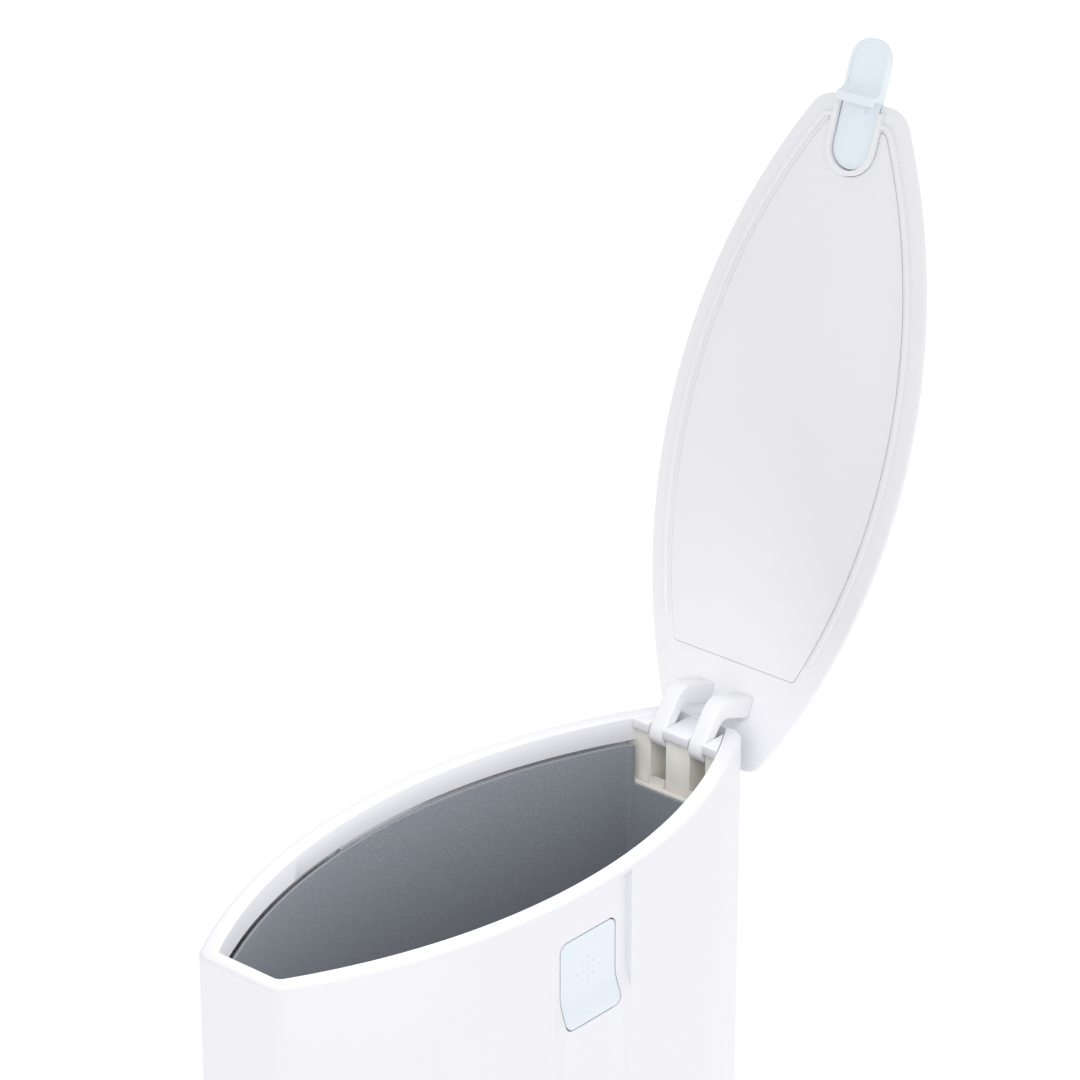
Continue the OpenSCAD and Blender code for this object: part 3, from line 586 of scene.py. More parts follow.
# Half width, sill and head of the window, and its corner radius
PEDAL_WINDOW = (41 * MM, 18 * MM, 66 * MM)
WINDOW_CORNER = 5 * MM
REAR_HEAD_RADIUS = 3.6 * MM
REAR_HEAD_DEPTH = 3.1 * MM
HEAD_APART = 8 * MM
# Neighbouring outlines stay this far apart in height, because a bridge between two at one height can twist
CREST = 0.04 * MM


def quarter(steps=QUARTER_STEPS):
    """Sine and cosine along a quarter turn."""
    return [(math.sin(math.pi / 2 * k / steps), math.cos(math.pi / 2 * k / steps)) for k in range(steps + 1)]


def body_layers():
    shell = shell_settings()
    outer, inner = shell.rim_round, 0.9 * MM
    layers = [shell_layer(0.0, 0.8 * MM), shell_layer(0.8 * MM, 0.0), shell_layer(RIM_Z * 0.5, 0.0)]
    for s, c in quarter():
        inset = outer * (1 - c)
        layers.append(shell_layer(RIM_Z - outer * (1 - s), inset, inset * 0.6))
    for s, c in quarter(3):
        layers.append(mouth_layer(RIM_Z - CREST - inner * (1 - c), inner * (1 - s)))
    ledge = RIM_Z - shell.skirt_depth
    layers.append(mouth_layer(ledge))
    layers.append(shell_layer(ledge + CREST, shell.wall))
    layers.append(shell_layer(CREST, shell.wall))
    return layers


def recess_x(z):
    """The recess's floor at height z: flat above, and swept out to the side face at its foot."""
    down = min(max((RIM_Z - RECESS_HEIGHT + RECESS_SWEEP - z) / RECESS_SWEEP, 0.0), 1.0)
    return RECESS_FACE + RECESS_DEPTH * math.sin(math.pi / 2 * down) ** 2


def floor_points(side, low, high):
    """Points along the recess's floor from low to high."""
    heights = [low + (high - low) * k / SWEEP_STEPS for k in range(SWEEP_STEPS + 1)]
    return [(side * recess_x(z), z) for z in heights]


def recess_cutter(side):
    """The recess: flat, with a floor that sweeps out to the side face at its lower end."""
    top, bottom = RIM_Z - RECESS_LIP, RIM_Z - RECESS_HEIGHT
    out = side * (HALF_WIDTH + 6 * MM)
    points = floor_points(side, bottom, bottom + RECESS_SWEEP)
    points += [(side * RECESS_FACE, top), (out, top), (out, bottom)]
    return profile_plate(points, [0] * len(points), -RECESS_WIDTH / 2, RECESS_WIDTH / 2, axis="Y")


def button_hole_cutter(side):
    low, high = BUTTON_LOW, BUTTON_HIGH
    width, height = high.y - low.y + 2 * BUTTON_GAP, high.z - low.z + 2 * BUTTON_GAP
    centre = ((low.y + high.y) / 2, (low.z + high.z) / 2)
    near, far = sorted((side * (RECESS_FACE - 8 * MM), side * (HALF_WIDTH + 6 * MM)))
    return rounded_plate(width, height, BUTTON_CORNER, near, far, centre)


class BIN_OT_outer_body(bpy.types.Operator):
    """Builds the outer body with its rim, recesses and pedal window"""
    bl_idname = "bin.outer_body"
    bl_label = "Outer Body"

    def execute(self, context):
        bm = bmesh.new()
        stack(bm, body_layers(), closed=True)
        body = finish_mesh(bm, "outer_body_shell")
        wall = shell_settings().wall
        for side in (-1, 1):
            near, far = sorted((side * (RECESS_FACE - RECESS_FLOOR), side * (HALF_WIDTH - 1.6 * MM)))
            seat = box_mesh((near, -RECESS_WIDTH / 2 - wall, RIM_Z - RECESS_HEIGHT - wall),
                            (far, RECESS_WIDTH / 2 + wall, RIM_Z - 8 * MM))
            boolean(body, seat, "UNION")
            boolean(body, recess_cutter(side), "DIFFERENCE")
            boolean(body, button_hole_cutter(side), "DIFFERENCE")
        half, sill, head = PEDAL_WINDOW
        points = [(-half, sill), (half, sill), (half, head), (-half, head)]
        window = profile_plate(points, [WINDOW_CORNER] * 4, -HALF_LENGTH - 5 * MM, -HALF_LENGTH + 8 * MM,
                               axis="Y")
        boolean(body, window, "DIFFERENCE")
        heads = [(x, HALF_LENGTH, z) for name in ("housing_screws", "guide_screws")
                 for x, z in screw_places(name)]
        boolean(body, rod_mesh(REAR_HEAD_RADIUS, REAR_HEAD_DEPTH, heads, "Y"), "DIFFERENCE")
        round_edges(body, 0.5 * MM, segments=2, degrees=42)
        place(body, "casing", "body_plastic", material("moulded_abs_body"), "outer_body")
        return {"FINISHED"}


def screw_places(name):
    """Middles (x, z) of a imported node's screw heads in the rear face, from their outermost points."""
    points = [v.co.xz for v in frame["nodes"][name].data.vertices if v.co.y > HALF_LENGTH - 0.2 * MM]
    heads = []
    for point in points:
        head = next((h for h in heads if (point - h[0]).length < HEAD_APART), None)
        if head is None:
            heads.append([point])
        else:
            head.append(point)
    return [[(min(values) + max(values)) / 2 for values in zip(*head)] for head in heads]


# ---------------------------------------------------------------- inner bucket

BUCKET_WALL = 2 * MM
BUCKET_CORNER = 6 * MM
BUCKET_TAPER = 1.6 * MM
BUCKET_FLOOR = 2.5 * MM
BUCKET_FILLET = 6 * MM
NOTCH_DEPTH = 41.5 * MM
NOTCH_SIDE = 3 * MM


def bucket_layer(z, inside):
    """An outline that lies inside the bucket's outer face."""
    shell = shell_settings()
    corner = max(BUCKET_CORNER - inside * 0.5, BUCKET_WALL)
    return (z, shell.rim_width + shell.bucket_gap + inside, -BUCKET_LOW.y - inside, BUCKET_HIGH.y - inside,
            corner, corner)


class BIN_OT_inner_bucket(bpy.types.Operator):
    """Builds the lift-out bucket with a rounded edge and a filleted floor"""
    bl_idname = "bin.inner_bucket"
    bl_label = "Inner Bucket"

    def execute(self, context):
        wall, taper, fillet = BUCKET_WALL, BUCKET_TAPER, BUCKET_FILLET
        base, top = BUCKET_LOW.z, BUCKET_HIGH.z
        layers = [bucket_layer(base + fillet * up, taper + fillet * inside)
                  for up, inside in ((0.0, 0.5), (0.2, 0.12), (0.6, 0.0))]
        for s, c in quarter(3):
            layers.append(bucket_layer(top - wall / 2 * (1 - s), wall / 2 * (1 - c)))
        for s, c in quarter(3)[1:]:
            layers.append(bucket_layer(top - wall / 2 * (1 - c), wall / 2 + wall / 2 * s))
        floor = base + BUCKET_FLOOR
        for s, c in quarter():
            layers.append(bucket_layer(floor + fillet * (1 - s), wall + taper + fillet * (1 - c)))
        bm = bmesh.new()
        stack(bm, layers, cap_first=True, cap_last=True)
        bucket = finish_mesh(bm, "inner_bucket_shell")
        shell = shell_settings()
        half = side_x(shell.rim_width + shell.bucket_gap + NOTCH_SIDE, BUCKET_HIGH.y)
        notch = box_mesh((-half, BUCKET_HIGH.y - 9 * MM, RIM_Z - NOTCH_DEPTH),
                         (half, BUCKET_HIGH.y + 5 * MM, top + 5 * MM))
        boolean(bucket, notch, "DIFFERENCE")
        round_edges(bucket, 0.4 * MM, segments=2, degrees=60)
        place(bucket, "bucket", "bucket_plastic", material("speckled_polypropylene"), "inner_bucket")
        return {"FINISHED"}


# ---------------------------------------------------------------- lid

LATCH_WIDTH = 27 * MM
LATCH_ROOT = 41 * MM
LATCH_THICK = 2.6 * MM
LATCH_REACH = 37 * MM
BOSS_WALL = 3.2 * MM
LID_EDGE_ROUND = 1.1 * MM
CROWN_STEPS = 10
BEAD_STEPS = 8
PANEL_GAP = 0.35 * MM
ARM_SPACING = 30 * MM
ARM_SCREW_RADIUS = 2.5 * MM


def lid_layer(z, inset, rear_inset=None):
    """An outline of the lid, grown past the body by its overhangs and drawn in by inset."""
    lid = lid_settings()
    rear = inset if rear_inset is None else rear_inset
    return (z, inset - lid.side_over, HALF_LENGTH + lid.front_over - inset, HALF_LENGTH - rear,
            max(lid.front_corner - inset, LEAST_CORNER),
            max(shell_settings().rear_corner - inset, LEAST_CORNER))


def lid_under():
    """Height of the closed lid's flat underside. Its bead hangs just clear of the rim."""
    return RIM_Z + lid_settings().bead + 0.3 * MM


def lid_tip():
    """Place of the closed lid's front edge along Y."""
    return -HALF_LENGTH - lid_settings().front_over


def lid_cut_layer(z, inset, rear):
    """An outline inside the body's faces that stops at a straight edge near the hinge."""
    lid = lid_settings()
    front = HALF_LENGTH + lid.front_over - lid.side_over - inset
    return (z, inset, front, rear, max(lid.front_corner - inset, LEAST_CORNER), LEAST_CORNER)


def latch_bed(grow, low, high):
    """The round-ended bed of the latch's plate, open at the lid's front edge."""
    radius = LATCH_WIDTH / 2 + grow
    centre_y = lid_tip() + LATCH_ROOT - LATCH_WIDTH / 2
    past_tip = lid_tip() - 2 * MM
    bm = bmesh.new()
    start = bm.verts.new((radius, centre_y, low))
    last = spin_on(bm, start, (0, centre_y, low), math.pi, 24)
    left = bm.verts.new((-radius, past_tip, low))
    right = bm.verts.new((radius, past_tip, low))
    bm.edges.new((last, left))
    bm.edges.new((left, right))
    bm.edges.new((right, start))
    bmesh.ops.contextual_create(bm, geom=bm.edges[:])
    push_up(bm, (0, 0, high - low))
    return bm


def bead_ring():
    """The bead that rests on the rim: a half-round band that follows the sides and the tip."""
    lid = lid_settings()
    under, crest = lid_under() + 0.4 * MM, lid_under() - lid.bead
    width, inset = lid.bead_width, lid.bead_inset
    layers = []
    for k in range(BEAD_STEPS + 1):
        a = math.pi * k / BEAD_STEPS
        across = width / 2 * (1 - math.cos(a))
        layers.append((crest + (under - crest) * (1 - math.sin(a)) ** 1.4, inset + across,
                       HALF_LENGTH - inset - across, HALF_LENGTH - 20 * MM,
                       max(9 * MM - across, LEAST_CORNER), LEAST_CORNER))
    bm = bmesh.new()
    stack(bm, layers, closed=True)
    cut = bmesh.ops.bisect_plane(bm, geom=bm.verts[:] + bm.edges[:] + bm.faces[:], dist=0.001 * MM,
                                 plane_co=(0, HALF_LENGTH - lid.bead_rear, 0), plane_no=(0, 1, 0),
                                 clear_outer=True)
    open_edges = [g for g in cut["geom_cut"] if isinstance(g, bmesh.types.BMEdge)]
    bmesh.ops.holes_fill(bm, edges=open_edges, sides=0)
    bmesh.ops.recalc_face_normals(bm, faces=bm.faces[:])
    return bm


def lid_sheet(bottom, top, inset, rear):
    """A flat sheet under the lid, from its bottom to its top."""
    bm = bmesh.new()
    stack(bm, [lid_cut_layer(z, inset, rear) for z in (bottom, top)], cap_first=True, cap_last=True)
    return bm


class BIN_OT_lid(bpy.types.Operator):
    """Builds the lid with its crown, bead, latch boss and inner panel"""
    bl_idname = "bin.lid"
    bl_label = "Lid"

    def execute(self, context):
        lid = lid_settings()
        under = lid_under()
        layers = [lid_layer(under + LID_EDGE_ROUND * (1 - c), LID_EDGE_ROUND * (1 - s))
                  for s, c in quarter(3)]
        for s, c in quarter(3):
            layers.append(lid_layer(under + lid.edge - LID_EDGE_ROUND * (1 - s), LID_EDGE_ROUND * (1 - c)))
        for k in range(1, CROWN_STEPS + 1):
            t = k / CROWN_STEPS
            layers.append(lid_layer(under + lid.edge + lid.crown * math.sin(math.pi / 2 * t),
                                    LID_EDGE_ROUND + 30 * MM * t, LID_EDGE_ROUND + 34 * MM * t))
        bm = bmesh.new()
        stack(bm, layers, cap_first=True, cap_last=True)
        shell = finish_mesh(bm, "lid_crown_shell")
        around_latch = BOSS_WALL + BUTTON_GAP
        rear = HALF_LENGTH - lid.panel_rear
        seat_top = under + lid.panel_thick + 0.1 * MM
        seat = finish_mesh(lid_sheet(under - 4 * MM, seat_top, lid.panel_inset, rear), "panel_seat")
        boolean(seat, latch_bed(around_latch, under - 9 * MM, under + 9 * MM), "DIFFERENCE")
        boolean(shell, take_mesh(seat), "DIFFERENCE")
        boolean(shell, bead_ring(), "UNION")
        boss = finish_mesh(latch_bed(around_latch, under - lid.bead, under + 0.5 * MM), "boss")
        # The boss stops just inside the body's front face
        trim = bmesh.new()
        stack(trim, [(z, 0.0, HALF_LENGTH - 1.5 * MM, 0.0, 9 * MM, LEAST_CORNER)
                     for z in (under - 5 * MM, under + 3 * MM)], cap_first=True, cap_last=True)
        boolean(boss, trim, "INTERSECT")
        boolean(shell, take_mesh(boss), "UNION")
        boolean(shell, latch_bed(BUTTON_GAP, under - 9 * MM, under + LATCH_THICK + 0.9 * MM), "DIFFERENCE")
        sinks = [(side * ARM_SPACING / 2, HINGE.y - reach, under + lid.edge + 8.8 * MM)
                 for side in (-1, 1) for reach in (26.5 * MM, 32.5 * MM)]
        boolean(shell, rod_mesh(ARM_SCREW_RADIUS, 20 * MM, sinks, "Z"), "DIFFERENCE")
        round_edges(shell, 0.45 * MM, segments=2, degrees=40)
        open_object(shell)
        place(shell, "lid", "lid_plastic", material("moulded_abs_lid"), "lid_shell")

        panel = finish_mesh(lid_sheet(under - 0.25 * MM, under + lid.panel_thick, lid.panel_inset + PANEL_GAP,
                                      rear - PANEL_GAP), "lid_panel_sheet")
        boolean(panel, latch_bed(around_latch + PANEL_GAP, under - 9 * MM, under + 9 * MM), "DIFFERENCE")
        round_edges(panel, 0.45 * MM, segments=3, degrees=60)
        open_object(panel)
        place(panel, "lid", "lid_plastic", material("moulded_abs_lid"), "lid_inner_panel")
        return {"FINISHED"}


# ---------------------------------------------------------------- hinge housing and arms

ARM_WIDTH = 11 * MM
SLOT_IN = (ARM_SPACING - ARM_WIDTH) / 2 - 0.4 * MM
SLOT_OUT = (ARM_SPACING + ARM_WIDTH) / 2 + 0.4 * MM
POCKET_FLOOR = RIM_Z - 44 * MM
POCKET_FRONT = HALF_LENGTH - 30 * MM
POCKET_BACK = HALF_LENGTH - 25.5 * MM
LIP_RISE = 4.5 * MM
LIP_DEPTH = 1.6 * MM
HOOD_FRONT = HALF_LENGTH - 29 * MM
HOOD_THICK = 6 * MM
HOUSING_INSET = 3.5 * MM
HOUSING_TOP = RIM_Z - 3.5 * MM
HOUSING_CORNER = 8.5 * MM
HOUSING_WALL = 1.8 * MM
# Neighbouring blocks overlap by this much, so that they join cleanly
OVERLAP = 0.05 * MM


def plan_block(inset, front, rear, low, high, rear_round=0.3 * MM):
    """A block that follows the body's sides between two straight ends."""
    bm = bmesh.new()
    stack(bm, [(z, inset, -front, rear, 0.3 * MM, rear_round) for z in (low, high)],
          cap_first=True, cap_last=True)
    return bm


def cut_arm_slots(obj, low):
    for side in (-1, 1):
        near, far = sorted((side * SLOT_IN, side * SLOT_OUT))
        slot = box_mesh((near, POCKET_FRONT - 5 * MM, low), (far, HALF_LENGTH, RIM_Z + 5 * MM))
        boolean(obj, slot, "DIFFERENCE")


class BIN_OT_hinge_housing(bpy.types.Operator):
    """Builds the pocket at the hinge, with its lip, bearing blocks and hood"""
    bl_idname = "bin.hinge_housing"
    bl_label = "Hinge Housing"

    def execute(self, context):
        rear, floor = HOUSING_HIGH.y, POCKET_FLOOR
        under = HOUSING_LOW.z + 18 * MM
        housing = finish_mesh(plan_block(HOUSING_INSET, POCKET_FRONT, rear, under, floor, HOUSING_CORNER),
                              "hinge_pocket")
        inset, base = HOUSING_INSET + OVERLAP, under + MM
        middle = POCKET_FRONT + LIP_DEPTH / 2
        # The rear block, then the two steps of the lip that edges the pocket's floor
        for block in (
                plan_block(inset, POCKET_BACK, rear - OVERLAP, base, HOUSING_TOP, HOUSING_CORNER),
                plan_block(inset, POCKET_FRONT + 0.1 * MM, middle, base, floor + LIP_RISE - 1.1 * MM),
                plan_block(inset, middle - 0.1 * MM, POCKET_FRONT + LIP_DEPTH, base, floor + LIP_RISE)):
            boolean(housing, block, "UNION")
        cut_arm_slots(housing, floor + LIP_RISE + MM)
        for side in (-1, 1):
            slot_low, slot_high = sorted((side * SLOT_IN, side * SLOT_OUT))
            boolean(housing, box_mesh((slot_low, POCKET_BACK - MM, floor),
                                      (slot_high, HALF_LENGTH, floor + LIP_RISE + 2 * MM)), "DIFFERENCE")
            near, far = sorted((side * (SLOT_IN + 0.6 * MM), side * (SLOT_OUT - 0.6 * MM)))
            front, back = POCKET_FRONT + LIP_DEPTH + 0.6 * MM, POCKET_BACK + 3 * MM
            points = [(front, floor - MM), (back, floor - MM), (back, floor + 7 * MM),
                      (front, floor + 10 * MM)]
            boolean(housing, profile_plate(points, [0] * 4, near, far), "UNION")
        screw_block = box_mesh((-18 * MM, rear - 7 * MM, HOUSING_LOW.z), (18 * MM, rear - 2 * OVERLAP, base))
        boolean(housing, screw_block, "UNION")
        hollow_half = SLOT_IN - 0.2 * MM - HOUSING_WALL
        hollow = box_mesh((-hollow_half, POCKET_BACK + HOUSING_WALL, floor),
                          (hollow_half, rear - MM, RIM_Z + MM))
        boolean(housing, hollow, "DIFFERENCE")
        rod_low, rod_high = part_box("push_rod")
        passage = box_mesh((rod_low.x - 0.5 * MM, rod_low.y - 0.5 * MM, HOUSING_LOW.z - MM),
                           (rod_high.x + 0.5 * MM, rod_high.y + 0.5 * MM, floor + MM))
        boolean(housing, passage, "DIFFERENCE")
        bore = rod_mesh(SHAFT_RADIUS + 0.06 * MM, 2 * (SLOT_OUT + 6.3 * MM), [(0, HINGE.y, HINGE.z)], "X", 48)
        boolean(housing, bore, "DIFFERENCE")
        round_edges(housing, 0.45 * MM, segments=2, degrees=50)
        place(housing, "casing", "housing_plastic", material("moulded_abs_hinge"), "hinge_housing")

        hood = finish_mesh(plan_block(11 * MM, HOOD_FRONT, rear, RIM_Z - HOOD_THICK, RIM_Z - 0.6 * MM),
                           "hinge_hood")
        rear_low = box_mesh((-HALF_WIDTH, POCKET_BACK, RIM_Z - 9 * MM),
                            (HALF_WIDTH, rear + MM, HOUSING_TOP + OVERLAP))
        boolean(hood, rear_low, "DIFFERENCE")
        cut_arm_slots(hood, RIM_Z - 12 * MM)
        round_edges(hood, 0.8 * MM, segments=3, degrees=50)
        place(hood, "casing", "body_plastic", material("moulded_abs_body"))
        return {"FINISHED"}


SHAFT_RADIUS = 2.5 * MM
# Corners of an arm seen from the side: millimetres behind and above the hinge axis, and the corner's radius
ARM_PROFILE = (
    (-36.0, 18.4, 0.0), (-36.0, -12.4, 9.0), (-4.0, -22.3, 6.0), (3.4, -19.3, 4.0), (5.0, 5.0, 4.9),
    (-5.0, 5.0, 4.8), (-5.9, -13.0, 5.0), (-23.0, -7.0, 6.0), (-23.0, 18.4, 0.0),
)


class BIN_OT_hinge_arms(bpy.types.Operator):
    """Builds the two goose-neck arms that carry the lid"""
    bl_idname = "bin.hinge_arms"
    bl_label = "Hinge Arms"

    def execute(self, context):
        for side, name in ((-1, "hinge_arm_left"), (1, "hinge_arm_right")):
            middle = side * ARM_SPACING / 2
            points = [(HINGE.y + y * MM, HINGE.z + z * MM) for y, z, _ in ARM_PROFILE]
            rounds = [r * MM for _, _, r in ARM_PROFILE]
            bm = profile_plate(points, rounds, middle - ARM_WIDTH / 2, middle + ARM_WIDTH / 2)
            arm = finish_mesh(bm, name + "_moulding")
            bore = rod_mesh(SHAFT_RADIUS, 2 * ARM_WIDTH, [(middle, HINGE.y, HINGE.z)], "X", 48)
            boolean(arm, bore, "DIFFERENCE")
            round_edges(arm, 1.3 * MM, segments=3, degrees=60, smooth=40)
            open_object(arm)
            place(arm, "lid", "lid_plastic", material("moulded_abs_lid"), name)
        return {"FINISHED"}


# ---------------------------------------------------------------- latch

LATCH_RIM = 3 * MM
LIP_DROP = 9 * MM
LIP_THICK = 2.2 * MM
LIP_SWEEP = 15 * MM
LIP_NIB = 2 * MM
NIB_CHAMFER = 0.6 * MM
TAB_WALL = 2.2 * MM
TAB_RECESS = 0.7 * MM
LATCH_PIN_RADIUS = MM


def tab_plan(grow, low, high):
    """The tab's long outline with both ends round."""
    front, back = lid_tip() - LATCH_REACH, lid_tip() + LATCH_ROOT
    width = LATCH_WIDTH + 2 * grow
    return rounded_plate(width, back - front + 2 * grow, width / 2 - 0.02 * MM, low, high,
                         (0.0, (front + back) / 2), axis="Z")


def tab_profile(half):
    """The tab seen from the side: plate, hooked lip and the sweep that leads down to the lip."""
    under, tip = lid_under(), lid_tip()
    foot = under - LIP_DROP
    front, back = tip - LATCH_REACH - MM, tip + LATCH_ROOT + MM
    lip_back, lip_front, nib = tip - MM, tip - MM - LIP_THICK, tip + LIP_NIB
    points = [(front, under + LATCH_THICK), (back, under + LATCH_THICK), (back, under), (lip_back, under),
              (lip_back, foot + 2 * MM), (nib, foot + 2 * MM), (nib, foot + NIB_CHAMFER),
              (nib - NIB_CHAMFER, foot), (lip_front + 0.4 * MM, foot)]
    for s, c in quarter(8)[::-1]:
        points.append((lip_front - LIP_SWEEP * (1 - s), under - LIP_DROP * (1 - c)))
    points.append((front, under))
    return profile_plate(points, [0] * len(points), -half, half)


class BIN_OT_latch_tab(bpy.types.Operator):
    """Builds the latch: its plate, finger tab and hooked lip"""
    bl_idname = "bin.latch_tab"
    bl_label = "Latch Tab"

    def execute(self, context):
        under = lid_under()
        tab = finish_mesh(tab_profile(LATCH_WIDTH), "latch_tab_moulding")
        boolean(tab, tab_plan(0.0, under - 12 * MM, under + 6 * MM), "INTERSECT")
        rim = finish_mesh(tab_plan(0.0, under - LATCH_RIM, under + 0.5 * MM), "tab_rim")
        boolean(rim, tab_plan(-TAB_WALL, under - 12 * MM, under - LATCH_RIM + TAB_RECESS), "DIFFERENCE")
        behind_lip = box_mesh((-LATCH_WIDTH, lid_tip() - MM, under - 12 * MM),
                              (LATCH_WIDTH, 0, under + 6 * MM))
        boolean(rim, behind_lip, "DIFFERENCE")
        boolean(tab, take_mesh(rim), "UNION")
        # A thin cover under the spring keeps the plate's face closed
        cover = box_mesh((-4 * MM, -HALF_LENGTH - 3.6 * MM, under - 1.2 * MM),
                         (4 * MM, -HALF_LENGTH + 4.6 * MM, under + 0.5 * MM))
        boolean(tab, cover, "UNION")
        spring_well = box_mesh((-3.4 * MM, -HALF_LENGTH - 3 * MM, under - 0.7 * MM),
                               (3.4 * MM, -HALF_LENGTH + 4 * MM, under + 4 * MM))
        boolean(tab, spring_well, "DIFFERENCE")
        pin_place = (0, -HALF_LENGTH, under + LATCH_THICK / 2)
        boolean(tab, rod_mesh(LATCH_PIN_RADIUS, 2 * LATCH_WIDTH, [pin_place], "X", 24), "DIFFERENCE")
        round_edges(tab, 0.6 * MM, segments=3, degrees=45, smooth=38)
        open_object(tab)
        place(tab, "latch", "button_plastic", material("moulded_abs_ice"), "latch_tab")
        return {"FINISHED"}


# ---------------------------------------------------------------- side buttons

PIP_ROWS = 5
PIP_RADIUS = 0.8 * MM
PIP_PITCH = (4.6 * MM, 4.2 * MM)
PIP_HEIGHT = 29 * MM
BUTTON_THICK = 2.2 * MM
KNUCKLE_HALF = 4 * MM
EYE_WALL = 0.9 * MM


def add_knuckles(button, side, back, half):
    """Adds the two bored knuckles behind a button that its pin runs through."""
    pin_low, pin_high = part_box("button_pin_right")
    pin_x, pin_z = side * (pin_low.x + pin_high.x) / 2, (pin_low.z + pin_high.z) / 2
    radius = (pin_high.z - pin_low.z) / 2
    eye_radius = radius + EYE_WALL
    for end in (-1, 1):
        middle = end * (half - KNUCKLE_HALF)
        reach_low, reach_high = sorted((pin_x, side * (back + 0.4 * MM)))
        boolean(button, box_mesh((reach_low, middle - KNUCKLE_HALF, pin_z - eye_radius),
                                 (reach_high, middle + KNUCKLE_HALF, pin_z + eye_radius)), "UNION")
        boolean(button, rod_mesh(eye_radius, 2 * KNUCKLE_HALF, [(pin_x, middle, pin_z)], "Y"), "UNION")
        boolean(button, rod_mesh(radius, 3 * KNUCKLE_HALF, [(pin_x, middle, pin_z)], "Y"), "DIFFERENCE")


def add_pips(button, side, foot):
    """Adds the diamond of raised finger pips to a button's face."""
    bm = bmesh.new()
    bm.from_mesh(button.data)
    for row in range(PIP_ROWS):
        count = PIP_ROWS - abs(2 * row - PIP_ROWS + 1) // 2 * 2
        for k in range(count):
            y = (k - (count - 1) / 2) * PIP_PITCH[0]
            z = foot + PIP_HEIGHT + (row - (PIP_ROWS - 1) / 2) * PIP_PITCH[1]
            bmesh.ops.create_uvsphere(bm, u_segments=16, v_segments=8, radius=PIP_RADIUS,
                                      matrix=Matrix.Translation((side * (RECESS_FACE - 0.2 * MM), y, z)))
    bm.to_mesh(button.data)
    bm.free()
    smooth_faces(button.data, 35)


class BIN_OT_side_buttons(bpy.types.Operator):
    """Builds the two push buttons with their flared feet and finger pips"""
    bl_idname = "bin.side_buttons"
    bl_label = "Side Buttons"

    def execute(self, context):
        low, high = BUTTON_LOW, BUTTON_HIGH
        half = (high.y - low.y) / 2
        back = RECESS_FACE - BUTTON_THICK
        for side, name in ((-1, "side_button_left"), (1, "side_button_right")):
            points = floor_points(side, low.z, min(low.z + RECESS_SWEEP, high.z))
            points += [(side * RECESS_FACE, high.z), (side * back, high.z), (side * back, low.z)]
            bm = profile_plate(points, [0] * len(points), -half, half, axis="Y")
            button = finish_mesh(bm, name + "_moulding")
            near, far = sorted((side * (RECESS_FACE - 9 * MM), side * (HALF_WIDTH + 9 * MM)))
            outline = rounded_plate(2 * half, high.z - low.z, BUTTON_CORNER - 0.5 * MM, near, far,
                                    (0.0, (low.z + high.z) / 2))
            boolean(button, outline, "INTERSECT")
            add_knuckles(button, side, back, half)
            round_edges(button, 0.7 * MM, segments=3, degrees=50, smooth=35)
            add_pips(button, side, low.z)
            body = "button_left" if side < 0 else "button_right"
            place(button, body, "button_plastic", material("moulded_abs_ice"), name)
        return {"FINISHED"}


# ---------------------------------------------------------------- pedal and base

PEDAL_PIVOT = Vector(JOINTS["pedal_pivot"]["pos_m"])
PEDAL_TURN = -math.radians(JOINTS["pedal_pivot"]["range_deg"][0]) / 2
TREAD_HALF = 37 * MM
TREAD_DEEP = 30 * MM
TREAD_OUT = 42 * MM
TREAD_RISE = 11 * MM
GROOVES = 6
GROOVE_PITCH = 3.8 * MM
LEVER_RISE = 9 * MM


class BIN_OT_pedal_tread(bpy.types.Operator):
    """Builds the ribbed rubber tread"""
    bl_idname = "bin.pedal_tread"
    bl_label = "Pedal Tread"

    def execute(self, context):
        half, front = TREAD_HALF, -HALF_LENGTH - TREAD_OUT
        back = front + TREAD_DEEP
        low, high = PEDAL_PIVOT.z - TREAD_RISE, PEDAL_PIVOT.z + TREAD_RISE
        points = [(front, low), (back, low), (back, high), (front, high)]
        bm = profile_plate(points, [5 * MM, 2 * MM, 2 * MM, 5 * MM], -half, half)
        tread = finish_mesh(bm, "tread_moulding")
        for k in range(GROOVES):
            y = front + 6.5 * MM + k * GROOVE_PITCH
            boolean(tread, box_mesh((-half + 4 * MM, y, high - 0.9 * MM),
                                    (half - 4 * MM, y + 1.6 * MM, high + MM)), "DIFFERENCE")
        lever_low, lever_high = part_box("pedal_lever")
        lever_rise = LEVER_RISE + OVERLAP
        socket = box_mesh((lever_low.x - OVERLAP, front + 8 * MM, PEDAL_PIVOT.z - lever_rise),
                          (lever_high.x + OVERLAP, back + MM, PEDAL_PIVOT.z + lever_rise))
        boolean(tread, socket, "DIFFERENCE")
        round_edges(tread, 0.5 * MM, segments=2, degrees=50)
        turn_about(tread, PEDAL_PIVOT, PEDAL_TURN)
        place(tread, "pedal", "tread_rubber", material("moulded_nitrile"), "pedal_tread")
        return {"FINISHED"}


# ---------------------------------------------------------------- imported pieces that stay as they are

METAL = {
    "zinc_plated_steel": ("base_screws", "housing_screws", "arm_screws", "guide_screws", "bracket_screws",
                          "pedal_lever", "pedal_bracket", "push_rod", "crank"),
    "ground_steel": ("hinge_shaft", "crank_pin", "rod_foot_pin", "latch_pivot_pin", "pedal_pivot_pin",
                     "button_pin_left", "button_pin_right"),
    "drawn_spring_wire": ("latch_spring", "button_spring_left", "button_spring_right"),
    "moulded_nitrile": ("foot_pads",),
    "moulded_abs_base": ("base_plate",),
    "moulded_abs_hinge": ("rod_guide_upper", "rod_guide_lower"),
}


